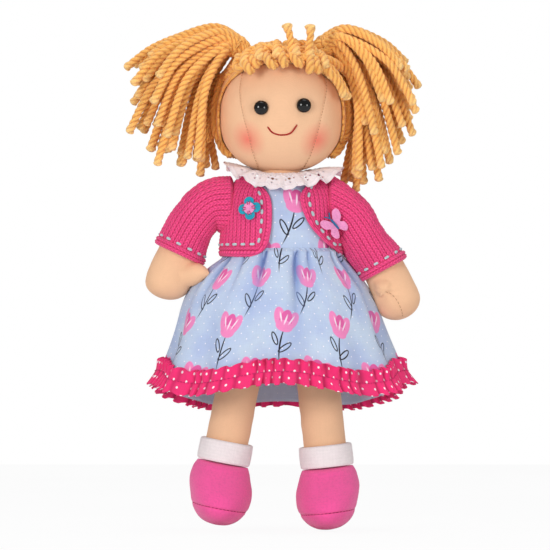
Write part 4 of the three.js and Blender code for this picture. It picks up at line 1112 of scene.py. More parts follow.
FINISHES = {
    "Skin cotton": (skin_finish,),
    "Face cotton": (skin_finish, CHEEKS),
    "Hair yarn": (hair_finish,),
    "Black eye plastic": (eye_finish,),
    "Washer plastic": (washer_finish,),
    "Cardigan knit": (knit_finish,),
    "Printed dress cotton": (dress_finish,),
    "Dotted frill cotton": (frill_finish,),
    "Collar lace": (lace_finish,),
    "Mouth thread": (thread_finish, "mouth"),
    "Lace thread": (thread_finish, "lace"),
    "Seam thread": (thread_finish, "seam", 0.5),
    "Running stitch thread": (thread_finish, "thread"),
    "Blue thread": (thread_finish, "thread_blue"),
    "Magenta thread": (thread_finish, "thread_magenta"),
    "Teal felt": (felt_finish, "felt_teal"),
    "Pink felt": (felt_finish, "felt_pink"),
    "Bootie jersey": (jersey_finish, "bootie"),
    "Sock jersey": (jersey_finish, "sock", 1.0, 0.12),
    "Pale floor": (floor_finish,),
}


def finish_named(name):
    """A finish by its name, made when it is first asked for."""
    material = bpy.data.materials.get(name)
    if material is None:
        material = bpy.data.materials.new(name)
        material.use_nodes = True
        shape_finish, *details = FINISHES[name]
        shape_finish(Nodes(material.node_tree), material.node_tree.nodes["Principled BSDF"], *details)
    return material


# Body

def make_torso():
    share = np.linspace(0, 1, 70)[:, None]
    angle = turns(96)[None, :]
    body = torso(angle, share)
    neck_angle = -math.acos(NECK_RADIUS / NECK_BALL_RADIUS)
    lift = np.linspace(neck_angle, math.pi / 2, 16)[:, None]
    x, y = oval(angle, NECK_BALL_RADIUS * np.cos(lift), NECK_BALL_RADIUS * np.cos(lift))
    ball = stacked(x, y, NECK_PIVOT_RISE + NECK_BALL_RADIUS * np.sin(lift))
    points = np.concatenate([drawn_in(body[0]), body, ball])
    points[1:-1] += unit(points[1:-1] * (1, 1, 0)) * 0.25 * ripple(points[1:-1], 14, 3)[..., None]
    made = surface_object("torso_cloth", points, "Skin cotton", cloth=flat_places(points), weld=True)
    place_on(made, "torso", "skin_cotton", "torso")


FACE_SEAMS = {
    "right": [(-26.4, 121.4), (-28.3, 107.3), (-25.9, 90.8), (-22.2, 77.3), (-20, 67.6), (-15.5, 54.9)],
    "left": [(30.2, 120.8), (31.3, 108.7), (27.2, 87.8), (23.5, 72.9), (19.7, 62.4), (14.5, 53.4)],
}
MOUTH = [(-9.3, 83), (-5.8, 79), (0, 77.3), (6.5, 78.6), (11.2, 84.4)]


def seam_pull(points):
    """How deep the cloth of the head is drawn in at the seams and round the eyes."""
    front = points[..., 1] < 0
    depth = np.zeros(points.shape[:-1])
    for line in FACE_SEAMS.values():
        route = evenly(line, np.linspace(0, 1, 60))
        across = np.interp(points[..., 2], route[::-1, 1], route[::-1, 0])
        inside = (points[..., 2] > route[:, 1].min() - 4) & (points[..., 2] < route[:, 1].max() + 3)
        away = np.abs(points[..., 0] - across)
        pucker = 0.75 + 0.25 * np.sin(points[..., 2] * TURN / 2.4)
        depth += np.where(inside & front, 0.55 * pucker * hump(away, 0.75), 0)
        depth += np.where(inside & front, 0.35 * hump(away, 3.2), 0)
    for across, rise in EYES.values():
        away = np.hypot(points[..., 0] - across, points[..., 2] - rise)
        depth += np.where(front, 1.5 * hump(away, 7.5), 0)
    return depth


def make_head():
    angle = turns(420)[None, :]
    lift = np.linspace(-math.pi / 2 + 0.001, math.pi / 2 - 0.001, 260)[:, None]
    points = outside(head, angle, lift, 0.0)
    normal = unit(outside(head, angle, lift, 1.0) - points)
    points = points - normal * seam_pull(points)[..., None] + normal * 0.35 * ripple(points, 30, 5)[..., None]
    made = surface_object("head_cloth", points, "Face cotton", cloth=flat_places(points), weld=True)
    place_on(made, "head", "skin_cotton", "head")


def on_face(across, rise, distance):
    """A point on the head's cloth, with the pull of its seams, seen from the front."""
    point = face_point(across, rise, 0.0)
    normal = unit(face_point(across, rise, 1.0) - point)
    return point + normal * (distance - seam_pull(point))[..., None]


def make_face_threads():
    route = evenly(MOUTH, np.linspace(0, 1, 60))
    path = on_face(route[:, 0], route[:, 1], 0.15)
    taper = 0.62 * np.minimum(np.minimum(np.linspace(0, 1, 60), np.linspace(1, 0, 60)) * 14 + 0.45, 1)
    mouth = strands_object("mouth_thread", [(path, taper, 0)], "Mouth thread", 2, 2.0, 8)
    place_on(mouth, "head", "skin_cotton")
    for name, line in FACE_SEAMS.items():
        stitches = [(on_face(*evenly(line, at).T, 0.12), 0.19, 0) for at in stitch_shares(34, 0.18, 0.62, 5)]
        seam = strands_object(f"face_seam_{name}", stitches, "Seam thread")
        place_on(seam, "head", "skin_cotton")


def turned(points, direction, place):
    """Points made about +Y, turned to lie about a direction, at a place."""
    direction = unit(np.asarray(direction, float))
    side = unit(np.cross(direction, [0.0, 0.0, 1.0]))
    up = np.cross(side, direction)
    frame_axes = np.stack([side, direction, up])
    return points @ frame_axes + place


def revolved(profile, sides):
    """A grid of rings about +Y from a profile of radius and height."""
    angle = turns(sides)[None, :]
    profile = np.asarray(profile, float)
    radius, height = profile[:, :1], profile[:, 1:]
    return stacked(radius * np.cos(angle), height, radius * np.sin(angle))


def make_eyes():
    for name, (across, rise) in EYES.items():
        seat = face_point(across, rise)
        direction = unit(face_point(across, rise, 1.0) - seat)
        rim = [(0, -8), (1.5, -8), (1.5, -0.1), (4.6, -0.1), (4.9, 0.15), (5, 0.5)]
        lift = np.linspace(0, 1, 18) * math.pi / 2
        dome = [(EYE_RADIUS * math.cos(a), EYE_RIM_RISE + EYE_DOME_HEIGHT * math.sin(a)) for a in lift]
        points = turned(revolved(rim + dome, 64), direction, seat)
        eye = surface_object(f"eye_dome_{name}", points, "Black eye plastic", weld=True)
        place_on(eye, "head", "eye_black", f"eye_{name}")
        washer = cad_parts[f"eye_washer_{name}"]
        washer.data.materials.clear()
        washer.data.materials.append(finish_named("Washer plastic"))


def arm_point(side_name, out, down, forward=0.0):
    side, reach, drop = ARMS[side_name]
    across = side * (SHOULDER_SEAM_ACROSS + GAP + out * reach)
    return (across, -forward * HAND_RADIUS, SHOULDER_PIVOT_RISE - down * drop)


def arm_line(side_name, share):
    """Points along an arm's middle line and its direction there."""
    places = [arm_point(side_name, *place) for place in ARM_SHARES[side_name]]
    share = np.asarray(share, float)
    points = evenly(places, share)
    along = unit(evenly(places, np.minimum(share + 0.005, 1)) - evenly(places, np.maximum(share - 0.005, 0)))
    square = smooth(share, 0, 0.3)[..., None]
    side = np.array([ARMS[side_name][0], 0, 0])
    return points, unit(mix(side, along, square))


def flattened(share, angle):
    """How much of an arm's height is left on its upper side, which falls straight from the shoulder."""
    dip = smooth(share, 0.02, 0.26) * (1 - smooth(share, 0.36, 0.6))
    return 1 - 0.24 * dip[:, None] * np.clip(np.cos(angle), 0, 1) ** 1.5


def arm_size(share):
    table = np.array(ARM_SIZE_SHARES)
    return np.interp(share, table[:, 0], table[:, 1])


def arm_radius(share):
    return arm_size(share) * mix(ARM_RADIUS, HAND_RADIUS / HAND_FULLNESS, smooth(share, 0.6, 0.8))


def arm_rings(side_name, share, height, depth, columns, lift=0.0):
    """Rings that stand on an arm's middle line, lifted where the wool stands up; the angle runs from the
    top to the front."""
    middle, along = arm_line(side_name, share)
    front = np.array([0.0, 1.0, 0.0])
    up = np.cross(along, front)
    angle = turns(columns)
    tall, wide = height[:, None] * flattened(share, angle) + lift, depth[:, None] + lift
    ring = up[:, None] * (tall * np.cos(angle))[..., None] + front * (wide * np.sin(angle))[..., None]
    return middle[:, None] + ring


def make_arms():
    for name in ARMS:
        tip = 0.9 + 0.1 * np.sin(np.linspace(0, 1, 18)[1:] * math.pi / 2)
        share = np.concatenate([np.linspace(0, 0.9, 60), tip])
        radius = arm_radius(share)
        end = np.clip((share - 0.86) / 0.14, 0, 1)
        radius = np.where(share > 0.86, HAND_RADIUS * np.sqrt(np.clip(1 - end**2, 0, 1)), radius)
        radius = mix(radius, arm_size(share) * HAND_RADIUS / HAND_FULLNESS, smooth(1 - share, 0.05, 0.3))
        points = arm_rings(name, share, radius, radius * ARM_FLATNESS, 64)
        points = np.concatenate([drawn_in(points[0]), points])
        arm = surface_object(f"arm_cloth_{name}", points, "Skin cotton", weld=True)
        route = [(*arm_point(name, *place), THUMB_RADIUS * wide)
                 for place, wide in zip(THUMB_SHARES[name], THUMB_SIZE_SHARES[name])]
        thumb_path, thick = np.split(through(route, np.linspace(0, 1, 24)), [3], axis=1)
        thick = np.clip(thick[:, 0], 0.8, None)
        thumb = strands_object(f"thumb_{name}", [(thumb_path, thick / 1.04, 0)], "Skin cotton", sides=24)
        arm = fused([arm, thumb])
        crease_hand(arm, name)
        place_on(arm, f"arm_{name}", "skin_cotton", f"arm_{name}")
        bend_at_shoulder(name, arm)
        if name == "left":
            make_palm_seam(arm, name)


def crease_hand(arm, side_name):
    """Draws the cloth in along the mitten's outline seam, and with puckers where the palm seam starts."""
    points = np.array([v.co for v in arm.data.vertices]) / MM
    base = np.array(arm_point(side_name, *PALM_SEAM_SHARES[0]))
    seam = np.abs(points[:, 1]) < 3
    far = np.linalg.norm(points - np.array(arm_point(side_name, 1, 1)), axis=1) < 46
    pull = np.where(seam & far, 0.45 * hump(points[:, 1], 0.8), 0)
    middle = np.array(arm_point(side_name, 0.9, 0.75))
    inward = unit(middle - points)
    across, up = points[:, 0] - base[0], points[:, 2] - base[2]
    away, turn = np.hypot(across, up), np.arctan2(up, across)
    front = (side_name == "left") * smooth(-points[:, 1], 2, 8)
    rays = 0.5 + 0.5 * np.cos(7 * turn + 1.5 * np.sin(2 * turn))
    rays = rays * smooth(away, 0.5, 3) * np.exp(-away / 5.5)
    pucker = front * (1.5 * hump(away, 2.0) + 1.3 * rays)
    points = points + inward * (pull + pucker + 0.25 * ripple(points, 24, 12))[:, None]
    arm.data.vertices.foreach_set("co", (points * MM).ravel())
    arm.data.update()


def make_palm_seam(arm, side_name):
    """The hand stitches that close the mitten, from the drawn-in place of the thumb to the lower edge."""
    points = [v.co / MM for v in arm.data.vertices]
    skin = BVHTree.FromPolygons(points, [p.vertices for p in arm.data.polygons])
    route = []
    for out, down in through(PALM_SEAM_SHARES, np.linspace(0, 1, 60)):
        across, _, rise = arm_point(side_name, out, down)
        found = skin.ray_cast((across, -60, rise), (0, 1, 0))[0]
        if found is None:
            raise ValueError("the palm seam runs off the hand")
        route.append(found)
    route = np.array(route) + (0, -0.1, 0)
    stitches = [(evenly(route, at), 0.17, 0) for at in stitch_shares(9, 0.15, 0.75, 4)]
    seam = strands_object(f"hand_seam_{side_name}", stitches, "Seam thread")
    place_on(seam, f"arm_{side_name}", "skin_cotton")


def leg_frame(side_name):
    """A leg's hip, its ankle, and the directions down it and across it."""
    side, length, splay = LEGS[side_name]
    hip = np.array([side * HIP_ACROSS, 0, -SEAT_DROP - GAP])
    foot = np.array([side * (HIP_ACROSS + splay), 0, -SEAT_DROP - length])
    down = unit(foot - hip)
    return hip, foot, down, np.array([-down[2], 0, down[0]])


def make_legs():
    table = np.array(LEG_SHARES)
    share = np.linspace(0, 1, 110)
    width, depth = [np.interp(share, table[:, 0], table[:, i]) for i in (1, 2)]
    for _ in range(6):
        for size in (width, depth):
            size[1:-1] = (size[:-2] + 2 * size[1:-1] + size[2:]) / 4
    half_width = mix(LEG_SEAM_HALF_WIDTH, LEG_RADIUS, width)[:, None]
    half_depth = mix(LEG_SEAM_HALF_DEPTH, LEG_RADIUS, depth)[:, None]
    x, y = oval(turns(72)[None, :], half_width, half_depth)
    for number, name in enumerate(LEGS):
        hip, foot, _, sideways = leg_frame(name)
        across = unit(mix(np.array([1.0, 0, 0]), sideways, share[:, None]))[:, None]
        middle = mix(hip, foot, share[:, None])[:, None]
        points = middle + across * x[..., None] + np.array([0, 1.0, 0]) * y[..., None]
        folds = ripple(points * (0.25, 0.6, 1.6), 15, 20 + number, 1) * hump(share - 0.66, 0.2)[:, None]
        out = unit(points - middle)
        points[1:-1] += (out * (0.45 * folds + 0.3 * ripple(points, 26, 24))[..., None])[1:-1]
        points = np.concatenate([drawn_in(points[0]), points, drawn_in(points[-1])])
        leg = surface_object(f"leg_cloth_{name}", points, "Skin cotton", cloth=flat_places(points), weld=True)
        place_on(leg, f"leg_{name}", "skin_cotton", f"leg_{name}")


def bootie_surface(side_name, angle, share):
    """The bootie's skin at an angle and a share of its height, with both parts of the foot's oval."""
    _, foot, down, sideways = leg_frame(side_name)
    table = np.array(BOOTIE_SHARES)
    place = np.interp(share, table[:, 0], np.linspace(0, 1, len(table)))
    found = through(BOOTIE_SHARES, place)
    width, toe, heel = [np.clip(found[..., i], 0, None) for i in (1, 2, 3)]
    reach = np.where(np.cos(angle) > 0, toe * TOE_REACH, heel * HEEL_REACH)
    x = width * BOOTIE_HALF_WIDTH * np.sin(angle)
    y = -reach * np.cos(angle)
    x = x - LEGS[side_name][0] * 3.2 * smooth(found[..., 0], 0.2, 0.75)
    rise = (GAP + found[..., 0] * BOOTIE_HEIGHT)[..., None]
    return foot + down * rise + sideways * x[..., None] + np.array([0, 1.0, 0]) * y[..., None]


def make_booties():
    angle = turns(120)[None, :]
    seam = (BOOTIE_HEIGHT - SOLE_HEIGHT) / BOOTIE_HEIGHT
    half_gap = 0.5 * GAP / BOOTIE_HEIGHT
    evenly_down = np.linspace(0, 1, 80)
    closer_down = np.sin(np.linspace(0, 1, 60) * math.pi / 2)
    for name in LEGS:
        _, foot, down, _ = leg_frame(name)
        for part, low, high, steps in (
            ("upper", BOOTIE_SHARES[0][0], seam - half_gap, evenly_down),
            ("sole", seam + half_gap, 1, closer_down),
        ):
            share = (low + (high - low) * steps)[:, None]
            points = bootie_surface(name, angle, share)
            out = unit(points - points.mean(1, keepdims=True))
            away = np.abs(share - seam) * BOOTIE_HEIGHT
            pucker = 0.12 * np.sin(angle * 46) * np.exp(-(away / 2.5))
            wavy = 0.35 * ripple(points, 17, 31) + pucker - 0.9 * np.exp(-(away / 1.1))
            points = points + out * wavy[..., None] * smooth(1 - share, 0.0, 0.06)[..., None]
            cloth = flat_places(points)
            points = np.concatenate([drawn_in(points[0]), points])
            cloth = np.concatenate([cloth[:1], cloth])
            node = f"sole_{name}"
            if part == "upper":
                points = np.concatenate([points, drawn_in(points[-1]) - down * 1.5])
                cloth = np.concatenate([cloth, cloth[-1:]])
                node = f"bootie_{name}"
            piece = surface_object(f"bootie_{part}_{name}", points, "Bootie jersey", cloth=cloth, weld=True)
            place_on(piece, f"leg_{name}", "bootie_jersey", node)
        make_sole_stitches(name, seam)
        make_sock_band(name, foot, down)


def make_sole_stitches(side_name, seam):
    middle = bootie_surface(side_name, np.linspace(0, TURN, 16), np.full(16, seam)).mean(0)
    stitches = []
    for at in stitch_shares(44, 0.2, 0.72, 5):
        line = bootie_surface(side_name, at * TURN, np.full(5, seam))
        stitches.append((line - unit(line - middle) * 0.75, 0.24, 0))
    piece = strands_object(f"sole_stitches_{side_name}", stitches, "Magenta thread")
    place_on(piece, f"leg_{side_name}", "bootie_jersey")


def make_sock_band(side_name, foot, down):
    """A band of jersey that is folded over, with soft edges and a slack lower hem."""
    inner = LEG_RADIUS * 0.99 + GAP
    outer = inner + SOCK_BAND_THICKNESS
    half = 0.5 * SOCK_BAND_THICKNESS
    low = -SOCK_BAND_OVERLAP + 2 * GAP + half
    top = SOCK_BAND_HEIGHT - SOCK_BAND_OVERLAP - half
    round_in = np.linspace(0, math.pi, 14)
    fold = [(inner + half - half * math.cos(a), top + half * math.sin(a)) for a in round_in]
    hem = [(inner + half + half * math.cos(a), low - half * math.sin(a)) for a in round_in]
    side = [(outer + 0.25 * math.sin(math.pi * t), mix(top, low, t)) for t in np.linspace(0, 1, 26)[1:-1]]
    inside = [(inner, mix(low, top, t)) for t in np.linspace(0, 1, 10)[1:]]
    points = revolved(fold + side + hem + inside, 120)
    wavy = 0.3 * ripple(points, 13, 41) + 0.1 * ripple(points, 4, 42)
    points = points + unit(points * (1, 0, 1)) * wavy[..., None]
    points[-1] = points[0]
    cloth = flat_places(points)
    points = turned(points, -down, foot)
    band = surface_object(f"sock_fold_{side_name}", points, "Sock jersey", cloth=cloth, weld=True)
    place_on(band, f"leg_{side_name}", "sock_jersey", f"sock_band_{side_name}")


# Hair

def head_point(direction, distance):
    """Where a direction from the head's middle meets the surface at a distance outside the head."""
    direction = unit(np.asarray(direction, float))
    height = np.where(direction[..., 2] < 0, CHEEK_RISE - CHIN_RISE, CROWN_RISE - CHEEK_RISE) + distance
    plan = np.hypot(
        direction[..., 0] / (HEAD_HALF_WIDTH + distance), direction[..., 1] / (HEAD_HALF_DEPTH + distance))
    low, high = np.zeros(height.shape), np.full(height.shape, 200.0)
    for _ in range(40):
        reach = (low + high) / 2
        inside = (reach * plan) ** (2 / HEAD_FULLNESS) + (reach * direction[..., 2] / height) ** 2 < 1
        low, high = np.where(inside, reach, low), np.where(inside, high, reach)
    return direction * low[..., None] + (0, 0, CHEEK_RISE)


def over_head(start, end, share, distance):
    """A route over the head from one direction to another, at a distance outside it."""
    start, end = unit(np.asarray(start, float)), unit(np.asarray(end, float))
    angle = math.acos(float(np.clip(start @ end, -1, 1)))
    share = share[:, None]
    route = (start * np.sin((1 - share) * angle) + end * np.sin(share * angle)) / math.sin(angle)
    return head_point(route, distance)


def opening_edge(angle, grow, distance=0.0):
    """The whole edge of the face opening, from the top at angle 0 down each side to the neck."""
    across, up = oval(angle, OPENING_HALF_WIDTH + grow, 1, BODY_ROUNDNESS)
    above = HAIRLINE_MIDDLE_RISE - up * (HAIRLINE_RISE - HAIRLINE_MIDDLE_RISE + grow)
    below = HAIRLINE_MIDDLE_RISE - up * OPENING_DROP
    points = face_point(across, np.where(up < 0, above, below), distance)
    points[..., 1] = np.minimum(points[..., 1], -SHOWN_TEMPLE_DEPTH)
    return points


def in_opening(points):
    """Whether each point lies inside the face opening."""
    rise = points[..., 2] - HAIRLINE_MIDDLE_RISE
    up = np.where(rise > 0, rise / (HAIRLINE_RISE - HAIRLINE_MIDDLE_RISE), rise / OPENING_DROP)
    power = 2 / BODY_ROUNDNESS
    size = np.abs(points[..., 0] / OPENING_HALF_WIDTH) ** power + np.abs(up) ** power
    return (points[..., 1] < -SHOWN_TEMPLE_DEPTH) & (size < 1)


def bunch_root(name):
    """Where a bunch stands on the hair, and the way it points there."""
    side = BUNCHES[name][0]
    root = outside(head, side * math.pi / 2, BUNCH_ROOT_LIFT, HAIR_THICKNESS + GAP)
    return root, np.array([side * math.sin(BUNCH_LEAN), 0, math.cos(BUNCH_LEAN)])


def tie_place(name):
    """The middle of a bunch's tie, the way the yarn goes through it, and the way up across it."""
    side = BUNCHES[name][0]
    root, _ = bunch_root(name)
    way = np.array([side * math.cos(TIE_LEAN), 0, math.sin(TIE_LEAN)])
    up = np.array([-side * math.sin(TIE_LEAN), 0, math.cos(TIE_LEAN)])
    return root + (-side * 1.3, 0, 7.2), way, up


def make_hair_base():
    """The knotted cloth under the yarn, which closes any gap between the strands."""
    lift = np.linspace(-0.8, math.pi / 2 - 0.001, 150)[:, None]
    points = outside(head, turns(240)[None, :], lift, 2.2)
    middles = face_middles(points)
    keep = ~in_opening(middles) & (middles[:, 2] > NAPE_RISE)
    cloth = flat_places(points) * (1, 0.06)
    base = surface_object("hair_base", points, "Hair yarn", cloth=cloth, keep=keep)
    thicken(base, 1.6)
    place_on(base, "head", "hair_yarn", "hair_cap")


def make_hair_cap():
    rng = random.Random(4)
    strands = []
    radius = sizes().yarn_radius / MM
    middle = np.array([0, 0, CHEEK_RISE])
    nape_lift = math.asin((NAPE_RISE + 2 - CHEEK_RISE) / (CHEEK_RISE - CHIN_RISE))
    for name, (side, _, _) in BUNCHES.items():
        root, _ = bunch_root(name)
        tie, tie_way, _ = tie_place(name)
        root_way = unit(root - middle)
        targets = []
        for i in range(25):
            turn = mix(59, 216, (i + 0.5) / 25) * DEGREE
            targets.append((np.array([side * 0.02, -math.cos(turn), math.sin(turn)]), 0.7))
        for i in range(13):
            edge = opening_edge(side * mix(36, 108, i / 12) * DEGREE, 6)
            targets.append((edge - middle, 0))
        for i in range(13):
            nape = outside(head, side * mix(97, 176, i / 12) * DEGREE, nape_lift, 0.0)
            targets.append((nape - middle, 0))
        for way, tuck in targets:
            share = np.linspace(0, 1, 60)
            toward = unit(unit(way) - root_way * (unit(way) @ root_way))
            begin = unit(root_way + toward * rng.uniform(0.05, 0.12))
            level = 2.6 + rng.uniform(-0.5, 0.5) - 1.6 * smooth(share, 0.9, 1) - tuck * smooth(share, 0.86, 1)
            path = over_head(begin, way, share, 0)
            normal = unit(over_head(begin, way, share, 1) - path)
            sway = 0.35 * ripple(path, 16, rng.randrange(1000))
            path = path + normal * (0.75 + level)[:, None] + np.cross(normal, toward) * sway[:, None]
            gather = tie - tie_way * 2.5 + unit(path[0] - root) * 3.5 - path[0]
            path = path + gather * (1 - smooth(share, 0, 0.3))[:, None]
            wide = radius * mix(0.5, 0.98, smooth(share, 0, 0.5))
            even = np.linspace(0, 1, 70)
            strands.append((evenly(path, even), evenly(wide[:, None], even)[:, 0], 0))
    cap = strands_object("hair_laid", strands, "Hair yarn", PLIES, sizes().yarn_lay / MM, 12)
    place_on(cap, "head", "hair_yarn")


def make_hair_edge():
    """Two close strands of yarn that are sewn along the edge of the hair, beside the face."""
    strands = []
    for side in (-1, 1):
        for grow, distance, radius in ((2.6, 2.2, 2.3), (5.4, 3.4, 2.2)):
            angle = np.linspace(28, 103 + grow, 110) * DEGREE * side
            lower = smooth(np.linspace(0, 1, 110), 0.1, 0.55)
            path = opening_edge(angle, grow, distance)
            path += stacked(2.4 * side * lower, 0.35 * grow + 7 * lower, 0)
            strands.append((evenly(path, np.linspace(0, 1, 150)), radius, 0))
    edge = strands_object("hair_edge", strands, "Hair yarn", 3, 6.9, 14)
    place_on(edge, "head", "hair_yarn")


def fringe_frame(angle, distance):
    """A place on the fringe's middle line and the directions out of the head and up from it."""
    middle = hairline(angle, distance)
    along = unit(hairline(angle + DEGREE, distance) - middle)
    outward = unit(middle - (0, 0, CHEEK_RISE))
    return middle, outward, unit(np.cross(outward, along))


def fringe_curl(distance):
    """The winding way of the fringe's long strand, with its loose end at the doll's left."""
    curled = []
    steps = FRINGE_TURNS * 20
    for i in range(steps + 1):
        phase = TURN * i / 20
        angle = mix(FRINGE_FROM, FRINGE_TO, i / steps) + 2.2 * DEGREE * math.sin(0.43 * phase + 0.5)
        middle, outward, upward = fringe_frame(angle, distance)
        size = 1 + 0.3 * math.sin(0.37 * phase + 1)
        lower = 0.9 + 0.9 * math.sin(0.55 * phase)
        curled.append(middle + outward * FRINGE_LOOP_DEPTH * math.sin(phase) * size
                      + upward * (FRINGE_LOOP_HEIGHT * math.cos(phase) * size - lower))
    for i in range(1, 9):
        curled.append(hairline(mix(FRINGE_TO, FRINGE_END, (i + 1) / 9), distance - 0.08 * i))
    return curled


def make_fringe():
    rng = random.Random(21)
    distance = HAIR_THICKNESS + GAP + FRINGE_LOOP_DEPTH + FRINGE_STRAND_RADIUS
    radius = FRINGE_STRAND_RADIUS * 1.25
    strands = [rounded_strand(fringe_curl(distance), radius, step=0.9, tip=1.0, start_round=True)]
    for i in range(8):
        angle = mix(-36, 37, (i + 0.4 + rng.uniform(-0.25, 0.25)) / 8) * DEGREE
        middle, outward, upward = fringe_frame(angle, distance - 0.5)
        sideways = np.cross(upward, outward)
        loop = []
        size = rng.uniform(5.0, 7.0)
        lean = rng.uniform(-1.2, 1.2)
        for k in range(15):
            turn = TURN * (k / 14) * rng.uniform(0.98, 1.02)
            loop.append(middle + upward * (size * math.cos(turn) + 6.4)
                        + outward * (1.2 * math.sin(turn) + 0.16 * k - 1.4)
                        + sideways * (size * 0.72 * math.sin(turn + lean)))
        strands.append(rounded_strand(loop, radius * 0.95, step=0.9, tip=0.7, start_round=True))
    for across, rise in FRINGE_ENDS:
        points = [face_point(0.9 * across, rise + 9, distance - 2.5),
                  face_point(across, rise + 4.5, distance + 2),
                  face_point(1.02 * across, rise - 1.5, distance + 1.6)]
        strands.append(rounded_strand(points, radius * 1.1, step=0.8))
    for start, end in UPRIGHT_STRANDS:
        base = face_point(*start, distance)
        tip = np.array([end[0], base[1] + 3, end[1]])
        bend = mix(base, tip, 0.5) + (1.2, 1.5, 0)
        path, wide, pale = rounded_strand([base, bend, tip], radius * 0.86, step=0.8)
        knob = 1 + 0.38 * smooth(np.linspace(0, 1, len(path)), 0.62, 0.9)
        strands.append((path, wide * knob, pale))
    for begin, end, arch in FRINGE_ARCHES:
        points = []
        for t in np.linspace(0, 1, 6):
            rise = mix(begin[1], end[1], t) + arch * math.sin(math.pi * t)
            points.append(face_point(mix(begin[0], end[0], t), rise, distance - 1))
        strands.append(rounded_strand(points, radius, step=0.9, start_round=True))
    fringe = strands_object("fringe_curls", strands, "Hair yarn", PLIES, sizes().yarn_lay / MM, 14)
    place_on(fringe, "head", "hair_yarn", "fringe")


def bunch_route(name, out, down, forward, spread):
    """The way of one strand, from the head through the tie, over its crest and down to its end."""
    side, reach, drop = BUNCHES[name]
    root, _ = bunch_root(name)
    tie, way, up = tie_place(name)
    clear = HEAD_HALF_WIDTH + HAIR_THICKNESS + STRAND_RADIUS + 2 * GAP - abs(root[0])
    around = unit(up * (1 - 1.9 * down) + np.array([0, -forward, 0]))
    start = tie + around * spread * 0.85 * TIE_INNER_RADIUS
    crest = root + (side * max(0.24 * out * reach * (1 - 0.5 * down), mix(0.6, 0.34, down) * clear),
                    -0.55 * forward * BUNCH_HALF_DEPTH, BUNCH_CREST * (1.1 - 1.05 * down))
    hang = root + (side * max(0.7 * out * reach, clear), -0.9 * forward * BUNCH_HALF_DEPTH,
                   BUNCH_CREST * 0.66 - 0.5 * down * drop)
    end = root + (side * out * reach, -forward * BUNCH_HALF_DEPTH, -down * drop)
    return [tie - way * 9 + around * 4 * spread - (0, 0, 1.5), start, crest, hang, end]


def make_bunches():
    radius = sizes().yarn_radius / MM
    for name, seed in (("right", 5), ("left", 9)):
        rng = random.Random(seed)
        given = sorted(BUNCH_SHARES[name], key=lambda share: share[1] - 0.4 * share[0])
        routes = [bunch_route(name, *share, spread=0.8) for share in given + INNER_STRANDS]
        outer = np.array(given)
        while len(routes) < sizes().strands:
            place = rng.uniform(0, len(given) - 1.001)
            i = int(place)
            out, down, _ = mix(outer[i], outer[i + 1], place - i)
            less = rng.uniform(0.8, 1.0)
            forward = rng.uniform(-1.0, 1.0)
            out = max(out * less, 0.3)
            routes.append(bunch_route(name, out, down * mix(less, 1, 0.3), forward, rng.uniform(0.2, 0.95)))
        strands = []
        for route in routes:
            wide = radius * rng.uniform(0.95, 1.06)
            path, wide, pale = rounded_strand(route, wide, step=0.9, start_share=0.85)
            sway = np.linspace(0, 1, len(path))[:, None] * np.array([rng.uniform(-1, 1) for _ in range(3)])
            wave = 0.9 * ripple(path, 38, rng.randrange(1000), 1)[:, None] * sway
            strands.append((path + wave, wide, pale))
        lay = sizes().yarn_lay / MM
        bunch = strands_object(f"bunch_strands_{name}", strands, "Hair yarn", PLIES, lay, 16)
        place_on(bunch, f"bunch_{name}", "hair_yarn", f"bunch_{name}")


def make_hair_ties():
    angle = np.linspace(0, TURN, 90)
    for name in BUNCHES:
        place, axis, _ = tie_place(name)
        strands = []
        for height in (-1.0, 1.0):
            across, up = TIE_RING_RADIUS * np.cos(angle), TIE_RING_RADIUS * np.sin(angle)
            ring = stacked(across, height + 0.3 * np.sin(2 * angle), up)
            strands.append((turned(ring, axis, place), TIE_YARN_RADIUS, 0))
        tie = strands_object(f"hair_tie_yarn_{name}", strands, "Hair yarn", 3, 5.0, 12)
        place_on(tie, f"bunch_{name}", "hair_tie_yarn", f"hair_tie_{name}")


# Dress

def make_bodice():
    low, high = torso_share(-WAIST_DROP - 1), torso_share(SHOULDER_RISE - 0.7)
    angle = around_doll(260)
    share = np.linspace(low, high, 90)[:, None]
    points = outside(torso, angle, share, GAP)
    normal = unit(outside(torso, angle, share, GAP + 1) - points)
    rise = points[..., 2]
    gathers = (0.5 + 0.5 * np.sin(angle * 38 + 2 * np.sin(angle * 5))) * np.exp(-(rise + 2) / 7)
    creases = ripple(points * (1.6, 1, 0.5), 17, 60)
    creased = 0.3 * (creases + 1) * smooth(rise, -2, 8) * smooth(-rise, -46, -36)
    wavy = CLOTH_THICKNESS + 0.55 * gathers + creased
    points = points + normal * wavy[..., None]
    middles = face_middles(points)
    away = np.hypot(middles[:, 1], middles[:, 2] - SHOULDER_PIVOT_RISE)
    keep = ~((np.abs(middles[:, 0]) > 28) & (away < SHOULDER_SEAM_RADIUS + 1))
    cloth = flat_places(points) + (7, 12)
    bodice = surface_object("dress_bodice", points, "Printed dress cotton", cloth=cloth, keep=keep)
    thicken(bodice, 0.8)
    place_on(bodice, "torso", "dress_cotton", "bodice")


def hem_drop(angle):
    away = np.abs(wrapped(angle))
    return (HEM_DROP - HEM_TILT * np.cos(angle) + HEM_SIDE_RISE * np.cos(2 * angle)
            - HEM_WAVE * np.cos(4 * angle) - 4.2 * hump(away - 2.25, 0.42))


